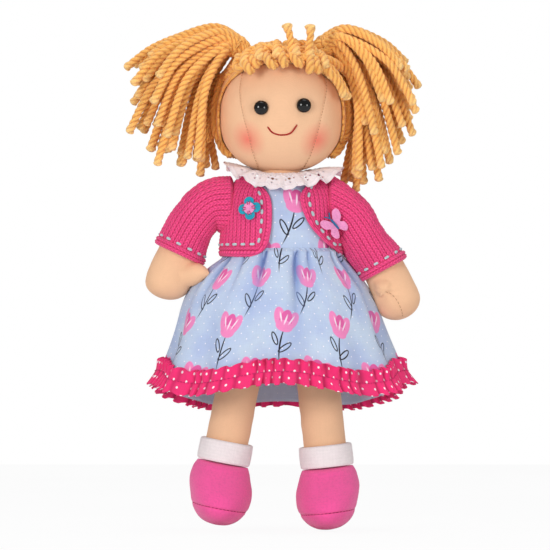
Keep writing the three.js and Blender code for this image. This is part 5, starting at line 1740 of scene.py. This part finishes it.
def skirt_point(angle, share, offset):
    """A place on the skirt at an angle and a share of the way down, at an offset from its inner face."""
    angle, share = np.broadcast_arrays(np.asarray(angle, float), np.asarray(share, float))
    found = through(SKIRT_SHARES, share)
    down, flare = found[..., 0], found[..., 1]
    waist = torso(angle, np.full(angle.shape, float(torso_share(0))))
    x, y = oval(angle, HEM_HALF_WIDTH, HEM_HALF_DEPTH)
    x, y = mix(waist[..., 0], x, flare), mix(waist[..., 1], y, flare)
    waves = 0.75 * np.cos(FOLD_COUNT * angle) + 0.25 * np.cos((FOLD_COUNT - 5) * angle + 1)
    side = np.sin(angle)
    full = 4.4 * np.clip(-side, 0, 1) ** 2 + 1.8 * np.clip(side, 0, 1) ** 2
    stretch = 1 + (offset + FOLD_DEPTH * flare * waves + full * hump(share - 0.57, 0.19)) / np.hypot(x, y)
    return stacked(x * stretch, y * stretch, -down * hem_drop(angle))


def pleats(angle, share):
    """How far the gathered cloth stands out, and how deep in a fold it is, which is painted as shade in the
    fold: folds fade down the skirt.
    """
    rng = random.Random(12)
    fine = 0.5 + 0.5 * np.cos(66 * angle + 2.5 * np.sin(3 * angle + 1))
    begun = smooth(share, 0, 0.1)
    level = 1.2 * fine * hump(share, 0.06) + 3.4 * begun * (1 - smooth(share, 0.55, 0.88))
    level = level - 3.0 * np.clip(-np.sin(angle), 0, 1) ** 2 * (1 - smooth(share, 0.25, 0.5)) * begun
    folds = list(FRONT_PLEATS)
    count = 18
    for i in range(count):
        middle = (i + rng.uniform(0.15, 0.85)) / count * TURN
        folds.append((middle, rng.uniform(-0.12, 0.12), rng.uniform(0.55, 0.95), rng.uniform(1.6, 3.2)))
    deep = 0
    for middle, lean, length, depth in folds:
        away = wrapped(angle - middle - lean * share)
        fade = smooth(share, 0, 0.12) * (1 - smooth(share, 0.4 * length, length))
        deep = deep + depth * fade * np.exp(-np.abs(away / (0.018 + 0.075 * share)) ** 1.4)
    return level - deep, np.clip(deep / 4.4, 0, 1)


def make_skirt():
    angle = around_doll(720)
    share = np.linspace(0, 1, 96)[:, None] ** 1.15 * (1 - HEM_LAP / HEM_DROP)
    level, deep = pleats(angle, share)
    points = skirt_point(angle, share, 2 * GAP + CLOTH_THICKNESS + level - 0.6 * smooth(share, 0.9, 1))
    creases = ripple(points * (1, 1, 0.45), 26, 63) * 0.7 * smooth(share, 0.1, 0.4)
    points = points + unit(points * (1, 1, 0)) * creases[..., None]
    cloth = flat_places(points) * (1, -1)
    # The depth of each fold goes along for the painted shade in the folds
    skirt = surface_object("dress_skirt", points, "Printed dress cotton", cloth=cloth, values={"painted_shade": deep})
    thicken(skirt, 0.8)
    place_on(skirt, "torso", "dress_cotton", "skirt")
    bend_over_lap(skirt)


def frill_gathers(angle, down):
    """The frill's gathers: their turn, how full they are, the distance from the seam and the wave there."""
    wander = 2.0 * np.sin(5 * angle) + 1.5 * np.sin(11 * angle + 1) + 0.9 * np.sin(19 * angle + 2)
    full = 0.62 + 0.38 * np.sin(4 * angle + 2.6) * np.cos(7 * angle + 0.4)
    phase = sizes().ripples * angle + wander
    return phase, full, np.abs(2 * down - 1) ** 1.25, np.cos(phase + 0.5 * np.sign(down - 0.5))


def frill_point(angle, down, offset=0.0):
    """A place on the frill, from its upper edge at 0 to its lower edge at 1, gathered on its middle line."""
    phase, full, spread, wave = frill_gathers(angle, down)
    turned_angle = angle + spread * 0.5 * full * np.sin(2 * phase) / sizes().ripples
    share = 1 - (RUFFLE_HEIGHT * (1 - down) - 0.8 * spread * wave) / (HEM_SLOPE * hem_drop(angle))
    pillow = 1 - (0.5 - 0.5 * wave) ** 2
    radial = 4 * GAP + 2 * CLOTH_THICKNESS + offset + 1.6 * spread * full * RUFFLE_DEPTH * pillow
    radial = radial + 0.9 * (1 - spread) * (0.5 + 0.5 * np.cos(phase))
    return skirt_point(turned_angle, share, radial)


def make_frill():
    angle = around_doll(1160)
    down = np.linspace(0, 1, 40)[:, None]
    points = frill_point(angle, down)
    _, full, _, wave = frill_gathers(angle, down)
    # Painted shade along the creases between the gathers, stronger where they are fuller
    crease_shade = np.clip(0.3 + full, 0, 1) * np.exp(-(1 + wave) / 0.22)
    cloth = flat_places(points)
    frill = surface_object("hem_frill", points, "Dotted frill cotton", cloth=cloth, values={"painted_shade": crease_shade})
    thicken(frill, 0.7)
    place_on(frill, "torso", "ruffle_cotton", "hem_ruffle")
    stitches = []
    for at in stitch_shares(190, 0.15, 0.75, 4):
        stitches.append((frill_point(at * TURN, np.full(4, 0.5), 0.35), 0.26, 0))
    seam = strands_object("frill_stitches", stitches, "Magenta thread")
    place_on(seam, "torso", "ruffle_cotton")
    bend_over_lap(frill, seam)


def collar_point(angle, share, offset):
    """A place on the lace, which hangs straight at the front and is gathered in soft waves at the sides."""
    angle, share = np.broadcast_arrays(np.asarray(angle, float), np.asarray(share, float))
    left = smooth(np.sin(angle), 0.3, 1)
    edge = COLLAR_EDGE_RISE - COLLAR_SIDE_LIFT * np.cos(2 * angle)
    edge = edge - COLLAR_FRONT_DROP * np.cos(angle) - 3.4 * left
    scallop = COLLAR_SCALLOP * np.abs(np.cos(1.5 * COLLAR_FRILLS * angle)) * smooth(share, 0.8, 1)
    phase = 1.6 * COLLAR_FRILLS * angle + 1.2 * np.sin(3 * angle) + 0.7 * np.sin(7 * angle + 1)
    full = 0.3 + 0.7 * smooth(np.abs(np.sin(angle)), 0.3, 0.85)
    swing = 1.3 * full * np.sin(phase + 1.3) * share**2
    inner_x, inner_y = oval(angle, COLLAR_INNER_RADIUS, COLLAR_INNER_RADIUS)
    half_width = COLLAR_HALF_WIDTH - 1 + scallop + swing + 4 * left
    outer_x, outer_y = oval(angle, half_width, COLLAR_HALF_DEPTH + scallop + swing)
    frill = 1.35 * COLLAR_FRILL_HEIGHT * full * share**1.4 * np.cos(phase)
    small = 0.3 * share * np.cos(4 * COLLAR_FRILLS * angle + 2 * np.sin(2 * angle))
    rise = mix(COLLAR_RISE, edge, share**1.6) + COLLAR_ARCH * np.sin(math.pi * share) + frill + small + offset
    return stacked(mix(inner_x, outer_x, share), mix(inner_y, outer_y, share), rise)


def collar_eyelets():
    """Places and radii of the eyelets: small flowers of holes round the collar, and a row near its seam."""
    found = []
    groups = 16
    for i in range(groups):
        angle = TURN * (i + 0.5) / groups
        found.append((angle, 0.67, 1.15))
        for k in range(5):
            turn = TURN * (k + 0.25) / 5
            found.append((angle + 0.098 * math.cos(turn), 0.67 + 0.135 * math.sin(turn), 0.68))
    for i in range(3 * groups):
        found.append((TURN * i / (3 * groups), 0.42, 0.5))
    return found


def make_collar():
    angle = around_doll(1100)
    share = np.linspace(0, 1, 80)[:, None]
    points = collar_point(angle, share, LACE_THICKNESS)
    middles = face_middles(points)
    keep = np.ones(len(middles), bool)
    rims = []
    around = np.linspace(0, TURN, 17)[:, None]
    for turn, down, radius in collar_eyelets():
        centre = collar_point(turn, down, LACE_THICKNESS)
        keep &= np.linalg.norm(middles - centre, axis=1) > radius
        across = unit(collar_point(turn + 0.01, down, LACE_THICKNESS) - centre)
        outward = collar_point(turn, down + 0.01, LACE_THICKNESS) - centre
        outward = unit(outward - across * (outward @ across))
        ring = centre + (radius + 0.1) * (across * np.cos(around) + outward * np.sin(around))
        rims.append((ring, 0.24, 0))
    collar = surface_object("collar_lace", points, "Collar lace", cloth=flat_places(points), keep=keep)
    thicken(collar, 0.45, upward=True)
    place_on(collar, "torso", "lace", "lace_collar")
    turn = np.linspace(0, TURN, 900)
    for down, lift, radius in ((1.0, -0.2, 0.42), (0.55, 0.05, 0.25), (0.9, 0.05, 0.25)):
        rims.append((collar_point(turn, down, LACE_THICKNESS + lift), radius, 0))
    trim = strands_object("collar_stitching", rims, "Lace thread", sides=8)
    place_on(trim, "torso", "lace")


# Cardigan

def cardigan_shares():
    """The torso's shares at the cardigan's hem and at its neck."""
    return torso_share(-CARDIGAN_HEM_DROP), torso_share(SHOULDER_RISE - CARDIGAN_TOP_DROP)


def cardigan_point(angle, share, distance):
    flare = CARDIGAN_FLARE * (1 - smooth(share, 0, 0.35))
    distance = GAP + CLOTH_THICKNESS + KNIT_EASE + flare + distance
    points = outside(torso, angle, mix(*cardigan_shares(), share), distance)
    shoulder = smooth(share, 0.72, 0.97) * smooth(np.abs(points[..., 0]), 14, 27)
    return points + (0, 0, 3.4) * np.asarray(shoulder)[..., None]


def knitted(across, along):
    """Columns of stitches that each look like a V: how high the wool stands, and the painted shade in its
    gaps.
    """
    given = sizes()
    x = np.mod(across / (given.rib_width / MM), 1)
    lean = np.mod(along / (given.stitch_height / MM) - np.abs(2 * x - 1), 1)
    half = np.mod(2 * x, 1)
    leg = np.clip((1 - np.abs(2 * lean - 1) ** 2.2) * (1 - np.abs(2 * half - 1) ** 2.6), 0, 1) ** 0.8
    rib = np.sin(math.pi * x) ** 1.1
    height = 0.5 * leg + 0.5 * rib
    return height * given.knit_relief / MM, np.clip(1.08 - 0.85 * leg - 0.35 * rib, 0, 1)


def front_edge(name, share):
    curve = through(FRONT_EDGE_SHARES[name], np.linspace(0, 1, 200))
    return np.interp(share, curve[:, 0], curve[:, 1]) * math.pi / 2


def front_width(name, share):
    """The width of a cardigan front at a share of its height, from its edge to its side seam."""
    return (math.pi / 2 - front_edge(name, share)) * 31.0


def front_angle(name, share, across):
    """The angle at a share of the way from a front's opening edge to its side seam."""
    seam = 0.5 * GAP / BODY_HALF_DEPTH
    return ARMS[name][0] * mix(front_edge(name, share), math.pi / 2 - seam, across)


def bordered(across, along, nearest, beside, border, shift, lift, depth):
    """Knitting with a border of turned columns along its edge: its height, the painted shade in its gaps, and
    the groove between the two.
    """
    height, painted_shade = knitted(across, along)
    side_height, side_painted_shade = knitted(nearest * 1.05 + shift, beside)
    inside = nearest > border
    groove = depth * hump(nearest - border, 0.5)
    height = np.where(inside, height, side_height + lift)
    return height * (1 - groove), np.where(inside, painted_shade, side_painted_shade), groove


def knit_panel(name, angle, share, edges):
    """A panel of knitting. Edges lists the distance from each finished edge over the grid."""
    flat = cardigan_point(angle, share, 0)
    rows = row_lengths(flat)
    across = np.abs(angle) * CARDIGAN_MEAN_RADIUS
    nearest = np.min(np.stack(np.broadcast_arrays(*edges)), axis=0)
    height, painted_shade, groove = bordered(across, rows, nearest, across + rows, 4.4, 0.4, 0.25, 0.6)
    height = height - 1.5 * np.exp(-nearest / 0.9)
    soft = 0.35 * ripple(flat, 22, 71)
    points = cardigan_point(angle, share, KNIT_THICKNESS - 0.5 + height + soft)
    middles = face_middles(points, False)
    up = middles[:, 2] - SHOULDER_PIVOT_RISE
    size = (middles[:, 1] / ARMHOLE_HALF_DEPTH) ** 2 + (up / ARMHOLE_HALF_HEIGHT) ** 2
    keep = ~((np.abs(middles[:, 0]) > SHOULDER_SEAM_ACROSS + 1) & (size < 1))
    # The stitch gaps and the border groove get painted shade
    values = {"painted_shade": np.maximum(painted_shade, groove)}
    cloth = stacked(across, rows)
    panel = surface_object(name, points, "Cardigan knit", False, cloth, keep=keep, values=values)
    thicken(panel, 1.6)
    return panel


def make_cardigan_body():
    seam = 0.5 * GAP / BODY_HALF_DEPTH
    share = np.linspace(0, 1, 140)[:, None]
    angle = np.linspace(math.pi / 2 + seam, 3 * math.pi / 2 - seam, 290)[None, :]
    back = knit_panel("cardigan_back_knit", angle, share, [share * CARDIGAN_HEIGHT])
    place_on(back, "torso", "cardigan_knit", "cardigan_back")
    for name, width in (("right", 0.05), ("left", 0.046)):
        across = np.linspace(0, 1, 130)[None, :]
        angle = front_angle(name, share, across)
        edges = [share * CARDIGAN_HEIGHT, across * front_width(name, share)]
        front = knit_panel(f"cardigan_front_knit_{name}", angle, share, edges)
        place_on(front, "torso", "cardigan_knit", f"cardigan_front_{name}")
    make_edge_stitches()


def make_edge_stitches():
    """Long running stitches a little way in from the cardigan's front edges and hem."""
    inset = 5.4
    low = inset / CARDIGAN_HEIGHT
    lift = KNIT_THICKNESS + 0.25
    lines = {}
    for name in ARMS:
        route = [(share, inset / float(front_width(name, share))) for share in np.linspace(0.9, low, 30)]
        route += [(low, across) for across in np.linspace(route[-1][1], 0.99, 20)[1:]]
        lines[name] = ([cardigan_point(front_angle(name, s, a), s, lift) for s, a in route], 6.6)
    lines["back"] = ([cardigan_point(a, low, lift) for a in np.linspace(1.6, 4.68, 60)], 7.2)
    for name, (points, pitch) in lines.items():
        stitches = dashes(points, pitch, 0.55)
        seam = strands_object(f"edge_stitches_{name}", stitches, "Running stitch thread", sides=8)
        place_on(seam, "torso", "cardigan_knit")


def dashes(points, pitch, covered):
    """Stitches along a line, each tapering into the wool at its ends."""
    points = np.array(points, float)
    length = np.linalg.norm(np.diff(evenly(points, np.linspace(0, 1, 200)), axis=0), axis=1).sum()
    wide = 0.95 * np.sqrt(np.clip(1 - np.abs(np.linspace(-1, 1, 9)) ** 4, 0.05, 1))
    return [(evenly(points, at), wide, 0) for at in stitch_shares(int(length / pitch), 0.2, 0.2 + covered, 9)]


def sleeve_rings(name, share, columns, lift):
    """Rings of the sleeve at shares of the arm, with a lift of the wool over each ring."""
    radius = arm_radius(share) + SLEEVE_EASE + KNIT_THICKNESS
    height = mix(radius, SLEEVE_CAP_RADIUS, 1 - smooth(share, 0, 0.3))
    return arm_rings(name, share, height, radius, columns, lift)


def make_sleeves():
    for name in ARMS:
        columns = 330
        share = np.linspace(0, SLEEVE_END_SHARE, 190)
        along = lengths(arm_line(name, share)[0])[:, None]
        around = np.arange(columns)[None, :] / columns * SLEEVE_RIBS * sizes().rib_width / MM
        left = along[-1] - along
        height, painted_shade, groove = bordered(around, along, left, around, 5.6, 0.3, 0.9, 0.55)
        rings = sleeve_rings(name, share, columns, 0)
        soft = 0.7 * ripple(rings * (0.6, 1, 1.4), 24, 73) + 0.3 * ripple(rings, 9, 74)
        rounding = 2.4 * (1 - np.sqrt(1 - np.clip(1 - left / 2.4, 0, 1) ** 2))
        points = sleeve_rings(name, share, columns, height - rounding - 0.5 + soft)
        lining = sleeve_rings(name, np.linspace(SLEEVE_END_SHARE, 0.5, 14), columns, -2.3)
        turn = np.sin(np.linspace(1, 0, 9)[:-1, None] * math.pi / 2)
        shoulder = np.array([0, 0, SHOULDER_PIVOT_RISE])
        sleeve_head = (points[:1] - shoulder) * stacked(1.0, 1 - 0.26 * turn**2, 1 - 0.2 * turn**2)
        sleeve_head = sleeve_head + shoulder - stacked(ARMS[name][0] * 2.6, 0, 0) * turn[..., None]
        points = np.concatenate([sleeve_head, points, lining])
        # Painted shade for the sleeve head, the stitch gaps, the cuff groove and the turned-in lining inside
        # the sleeve
        painted_shade = [np.repeat(painted_shade[3:4], 8, 0), np.maximum(painted_shade, groove), np.full((14, columns), 0.7)]
        values = {"painted_shade": np.concatenate(painted_shade)}
        wider = np.concatenate([around, around[:, -1:] + around[:, 1:2]], axis=1)
        further = np.concatenate([np.arange(-8, 0)[:, None], along, along[-1] + np.arange(1, 15)[:, None]])
        cloth = stacked(wider, further)
        sleeve = surface_object(f"sleeve_knit_{name}", points, "Cardigan knit", cloth=cloth, values=values)
        place_on(sleeve, f"arm_{name}", "cardigan_knit", f"sleeve_{name}")
        place = float(np.interp(along[-1, 0] - 6.9, along[:, 0], share))
        line = sleeve_rings(name, np.array([place]), 80, 0.25)[0]
        stitches = dashes(np.vstack([line, line[:1]]), 8.6, 0.45)
        seam = strands_object(f"cuff_stitches_{name}", stitches, "Running stitch thread", sides=8)
        place_on(seam, f"arm_{name}", "cardigan_knit")
        bend_at_shoulder(name, sleeve, seam)


# Trims

def cardigan_seat(angle, rise):
    """The place on the cardigan's outer face at an angle and a height, and the ways out, across and up."""
    low, high = cardigan_shares()
    share = (torso_share(rise) - low) / (high - low)
    seat = cardigan_point(angle, share, KNIT_THICKNESS)
    outward = unit(cardigan_point(angle, share, 2 * KNIT_THICKNESS) - seat)
    across = unit(np.cross((0, 0, 1.0), outward))
    return seat, outward, across, np.cross(outward, across)


def on_seat(points, spin, lift, seat):
    """Flat points with a height, turned in their plane and laid on a seat."""
    place, outward, across, upward = seat
    x, y, height = np.moveaxis(np.asarray(points, float)[..., None], -2, 0)
    cosine, sine = math.cos(spin), math.sin(spin)
    flat = across * (x * cosine - y * sine) + upward * (x * sine + y * cosine)
    return place + flat + outward * (height + lift)


def felt_patch(name, outline, finish, spin, lift, seat, rise=None):
    """A cut felt shape with soft edges. Rise gives how far it bends up at a place on it."""
    share = np.concatenate([np.linspace(0.02, 0.9, 16), [0.94, 0.97, 0.99, 1.0]])[:, None]
    flat = outline[None] * share[..., None]
    x, y = flat[..., 0], flat[..., 1]
    half = 0.5 * FELT_THICKNESS
    round_edge = half * np.sqrt(np.clip(1 - np.clip((share - 0.88) / 0.12, 0, 1) ** 2, 0, 1))
    grain = 0.06 * ripple(stacked(x, y, 0), 1.7, 90)
    upper, lower = [stacked(x, y, half + way * round_edge + grain) for way in (1, -1)]
    points = np.concatenate([upper, lower[::-1]])
    if rise is not None:
        points[..., 2] += rise(points[..., 0], points[..., 1])
    points = on_seat(points, spin, lift, seat)
    points = np.concatenate([drawn_in(points[0]), points, drawn_in(points[-1])])
    return surface_object(name, points, finish, cloth=flat_places(points), weld=True)


def make_flower():
    place, outward, across, upward = cardigan_seat(FLOWER_ANGLE, FLOWER_RISE)
    seat = (place + across * 1.6 - upward * 1.4, outward, across, upward)
    angle = turns(160)
    ring = stacked(np.cos(angle), np.sin(angle))
    outline = 1.1 * FLOWER_RADIUS * (0.45 + 0.55 * np.abs(np.cos(2 * angle)) ** 0.5)[:, None] * ring
    petals = felt_patch("flower_felt_petals", outline, "Teal felt", 8 * DEGREE, 2 * GAP, seat,
                        lambda x, y: 0.05 * np.hypot(x, y))
    place_on(petals, "torso", "felt_teal", "flower_petals")
    lift = 2 * GAP + FELT_THICKNESS + 0.15
    centre = felt_patch("flower_felt_centre", FLOWER_CENTRE_RADIUS * ring, "Pink felt", 0, lift, seat)
    place_on(centre, "torso", "felt_pink", "flower_centre")
    stitches = []
    for i in range(4):
        turn = i * math.pi / 2 + 8 * DEGREE
        for shift in (-0.22, 0.22):
            line = [(r * math.cos(turn + shift), r * math.sin(turn + shift), h) for r, h in
                    ((2.2, 1.5), (3.0, 1.75), (3.9, 1.5), (4.9, 0.6))]
            stitches.append((evenly(on_seat(line, 0, lift - 0.3, seat), np.linspace(0, 1, 9)), 0.28, 0))
    seam = strands_object("flower_stitches", stitches, "Magenta thread", sides=8)
    place_on(seam, "torso", "felt_pink")


WING_SHARES = [
    (0, 0.16), (0.2, 0.62), (0.5, 0.98), (0.82, 1), (0.94, 0.72), (0.8, 0.3), (0.5, 0.04),
    (0.72, -0.22), (0.7, -0.66), (0.42, -0.86), (0.18, -0.6), (0, -0.2),
]


def make_butterfly():
    place, outward, _, _ = cardigan_seat(BUTTERFLY_ANGLE + 4 * DEGREE, BUTTERFLY_RISE - 4)
    outward = unit(outward + (0, -0.6, 0))
    across = unit(np.cross((0, 0, 1.0), outward))
    seat = (place + across * 6.5 + outward * 1.6, outward, across, np.cross(outward, across))
    left = [(-x, y) for x, y in WING_SHARES[1:-1][::-1]]
    closed = np.array(WING_SHARES + left + WING_SHARES[:1])
    outline = evenly(closed, np.linspace(0, 1, 181)[:-1]) * BUTTERFLY_HALF_SPAN
    wings = felt_patch("butterfly_felt_wings", outline, "Pink felt", BUTTERFLY_TURN, 3 * GAP, seat,
                       lambda x, y: 0.17 * np.maximum(np.abs(x) - 0.8, 0))
    place_on(wings, "torso", "felt_pink", "butterfly_wings")
    lift = 3 * GAP + FELT_THICKNESS + 0.3
    body = [(0, -3.4, 0), (0, -1.4, 0.3), (0, 1, 0.45), (0, 3.6, 0.4), (0, 6.0, 0.1)]
    path = evenly(on_seat(body, BUTTERFLY_TURN, lift, seat), np.linspace(0, 1, 30))
    along = np.linspace(-1, 1, 30)
    strands = [(path, 0.72 * np.sqrt(np.clip(1 - along**4, 0.04, 1)), 0)]
    for way in (-1, 1):
        feeler = [(0, 6.2, 0.2), (way * 0.9, 8, 0.2), (way * 2.4, 9.8, 0.1)]
        path = evenly(on_seat(feeler, BUTTERFLY_TURN, lift - 0.4, seat), np.linspace(0, 1, 12))
        strands.append((path, 0.4, 0))
    thread = strands_object("butterfly_thread", strands, "Blue thread", sides=10)
    place_on(thread, "torso", "thread_blue", "butterfly_body")


# Stage

def add_lamp(name, place, target, size, power):
    lamp = bpy.data.lights.new(name, "AREA")
    lamp.shape = "DISK"
    lamp.size = size
    lamp.energy = power
    holder = bpy.data.objects.new(name, lamp)
    holder.location = place
    direction = Vector(target) - Vector(place)
    holder.rotation_euler = direction.to_track_quat("-Z", "Y").to_euler()
    bpy.context.scene.collection.objects.link(holder)


def make_stage():
    scene = bpy.context.scene
    scene.view_settings.view_transform = "Standard"
    lens = bpy.data.cameras.new("Camera")
    lens.sensor_width = 36
    lens.lens = 378.7
    camera = bpy.data.objects.new("Camera", lens)
    camera.location = (-0.0041, -4.0, -0.0186)
    camera.rotation_euler = (math.pi / 2, 0, 0)
    scene.collection.objects.link(camera)
    scene.camera = camera

    world = bpy.data.worlds.new("Pale studio")
    world.use_nodes = True
    scene.world = world
    nodes = Nodes(world.node_tree)
    back = world.node_tree.nodes["Background"]
    back.inputs["Color"].default_value = (1, 1, 1, 1)
    rays = nodes.add("ShaderNodeLightPath").outputs
    seen = nodes.math("MAXIMUM", rays["Is Camera Ray"], rays["Is Transmission Ray"])
    nodes.put(back.inputs["Strength"], nodes.span(seen, 0, 1, 0.4, 1.0))

    low = CAD_BOX[0][2] - 0.0005
    corners = [(x, y, low / MM) for x, y in ((-1500, -4600), (1500, -4600), (1500, 1400), (-1500, 1400))]
    floor = new_object("floor", corners, [(0, 1, 2, 3)], "Pale floor")

    add_lamp("Key light", (-0.8, -1.25, 0.3), (0, 0, 0), 0.5, 8.3)
    add_lamp("Fill light", (0.95, -1.25, 0.15), (0, 0, 0), 0.5, 5.6)
    add_lamp("Top light", (0.1, -0.1, 1.3), (0, 0, 0), 0.9, 6.6)


# Operators

class RAGDOLL_OT_stage(bpy.types.Operator):
    """Add the camera, the lamps, the pale floor and the backdrop"""

    bl_idname = "rag_doll.stage"
    bl_label = "Stage"

    def execute(self, context):
        make_stage()
        return {"FINISHED"}


class RAGDOLL_OT_torso(bpy.types.Operator):
    """Add the stuffed torso with its neck"""

    bl_idname = "rag_doll.torso"
    bl_label = "Torso"

    def execute(self, context):
        make_torso()
        return {"FINISHED"}


class RAGDOLL_OT_head(bpy.types.Operator):
    """Add the stuffed head with its seams and blush"""

    bl_idname = "rag_doll.head"
    bl_label = "Head"

    def execute(self, context):
        make_head()
        return {"FINISHED"}


class RAGDOLL_OT_face(bpy.types.Operator):
    """Add the sewn mouth, the stitches of the face seams and the domed eyes"""

    bl_idname = "rag_doll.face"
    bl_label = "Face"

    def execute(self, context):
        make_face_threads()
        make_eyes()
        return {"FINISHED"}


class RAGDOLL_OT_arms(bpy.types.Operator):
    """Add the stuffed arms with their mitten hands"""

    bl_idname = "rag_doll.arms"
    bl_label = "Arms"

    def execute(self, context):
        make_arms()
        return {"FINISHED"}


class RAGDOLL_OT_legs(bpy.types.Operator):
    """Add the stuffed legs"""

    bl_idname = "rag_doll.legs"
    bl_label = "Legs"

    def execute(self, context):
        make_legs()
        return {"FINISHED"}


class RAGDOLL_OT_booties(bpy.types.Operator):
    """Add the booties with their soles and the folded sock bands"""

    bl_idname = "rag_doll.booties"
    bl_label = "Booties and socks"

    def execute(self, context):
        make_booties()
        return {"FINISHED"}


class RAGDOLL_OT_hair(bpy.types.Operator):
    """Add the yarn that lies on the head and the cords along its edge"""

    bl_idname = "rag_doll.hair"
    bl_label = "Laid hair"

    def execute(self, context):
        make_hair_base()
        make_hair_cap()
        make_hair_edge()
        return {"FINISHED"}


class RAGDOLL_OT_fringe(bpy.types.Operator):
    """Add the curled fringe with its upright ends"""

    bl_idname = "rag_doll.fringe"
    bl_label = "Fringe"

    def execute(self, context):
        make_fringe()
        return {"FINISHED"}


class RAGDOLL_OT_bunches(bpy.types.Operator):
    """Add the two bunches of yarn and their ties"""

    bl_idname = "rag_doll.bunches"
    bl_label = "Bunches"

    def execute(self, context):
        make_bunches()
        make_hair_ties()
        return {"FINISHED"}


class RAGDOLL_OT_bodice(bpy.types.Operator):
    """Add the dress's bodice"""

    bl_idname = "rag_doll.bodice"
    bl_label = "Bodice"

    def execute(self, context):
        make_bodice()
        return {"FINISHED"}


class RAGDOLL_OT_skirt(bpy.types.Operator):
    """Add the gathered skirt"""

    bl_idname = "rag_doll.skirt"
    bl_label = "Skirt"

    def execute(self, context):
        make_skirt()
        return {"FINISHED"}


class RAGDOLL_OT_frill(bpy.types.Operator):
    """Add the dotted frill along the hem"""

    bl_idname = "rag_doll.frill"
    bl_label = "Hem frill"

    def execute(self, context):
        make_frill()
        return {"FINISHED"}


class RAGDOLL_OT_collar(bpy.types.Operator):
    """Add the eyelet lace collar"""

    bl_idname = "rag_doll.collar"
    bl_label = "Lace collar"

    def execute(self, context):
        make_collar()
        return {"FINISHED"}


class RAGDOLL_OT_cardigan(bpy.types.Operator):
    """Add the cardigan's back and fronts with their running stitches"""

    bl_idname = "rag_doll.cardigan"
    bl_label = "Cardigan body"

    def execute(self, context):
        make_cardigan_body()
        return {"FINISHED"}


class RAGDOLL_OT_sleeves(bpy.types.Operator):
    """Add the cardigan's sleeves"""

    bl_idname = "rag_doll.sleeves"
    bl_label = "Sleeves"

    def execute(self, context):
        make_sleeves()
        return {"FINISHED"}


class RAGDOLL_OT_flower(bpy.types.Operator):
    """Add the felt flower"""

    bl_idname = "rag_doll.flower"
    bl_label = "Flower"

    def execute(self, context):
        make_flower()
        return {"FINISHED"}


class RAGDOLL_OT_butterfly(bpy.types.Operator):
    """Add the felt butterfly"""

    bl_idname = "rag_doll.butterfly"
    bl_label = "Butterfly"

    def execute(self, context):
        make_butterfly()
        return {"FINISHED"}


OPERATORS = (
    RAGDOLL_OT_stage, RAGDOLL_OT_torso, RAGDOLL_OT_head, RAGDOLL_OT_face, RAGDOLL_OT_arms, RAGDOLL_OT_legs,
    RAGDOLL_OT_booties, RAGDOLL_OT_hair, RAGDOLL_OT_fringe, RAGDOLL_OT_bunches, RAGDOLL_OT_bodice,
    RAGDOLL_OT_skirt, RAGDOLL_OT_frill, RAGDOLL_OT_collar, RAGDOLL_OT_cardigan, RAGDOLL_OT_sleeves,
    RAGDOLL_OT_flower, RAGDOLL_OT_butterfly,
)


class RAGDOLL_PT_panel(bpy.types.Panel):
    """Sizes, colours and pieces of the rag doll"""

    bl_idname = "RAGDOLL_PT_panel"
    bl_label = "Rag Doll"
    bl_space_type = "VIEW_3D"
    bl_region_type = "UI"
    bl_category = "Rag Doll"

    def draw(self, context):
        for group in (context.scene.doll_sizes, context.scene.doll_colours):
            box = self.layout.box()
            for key in group.bl_rna.properties.keys():
                if key not in ("rna_type", "name"):
                    box.prop(group, key)
        for operator in OPERATORS:
            self.layout.operator(operator.bl_idname)


CLASSES = (DollSizes, DollColours, *OPERATORS, RAGDOLL_PT_panel)


def register():
    for kind in CLASSES:
        bpy.utils.register_class(kind)
    bpy.types.Scene.doll_sizes = PointerProperty(type=DollSizes)
    bpy.types.Scene.doll_colours = PointerProperty(type=DollColours)


def unregister():
    del bpy.types.Scene.doll_colours
    del bpy.types.Scene.doll_sizes
    for kind in reversed(CLASSES):
        bpy.utils.unregister_class(kind)


def main():
    register()
    for operator in OPERATORS:
        group, name = operator.bl_idname.split(".")
        getattr(getattr(bpy.ops, group), name)()


if __name__ == "__main__":
    main()
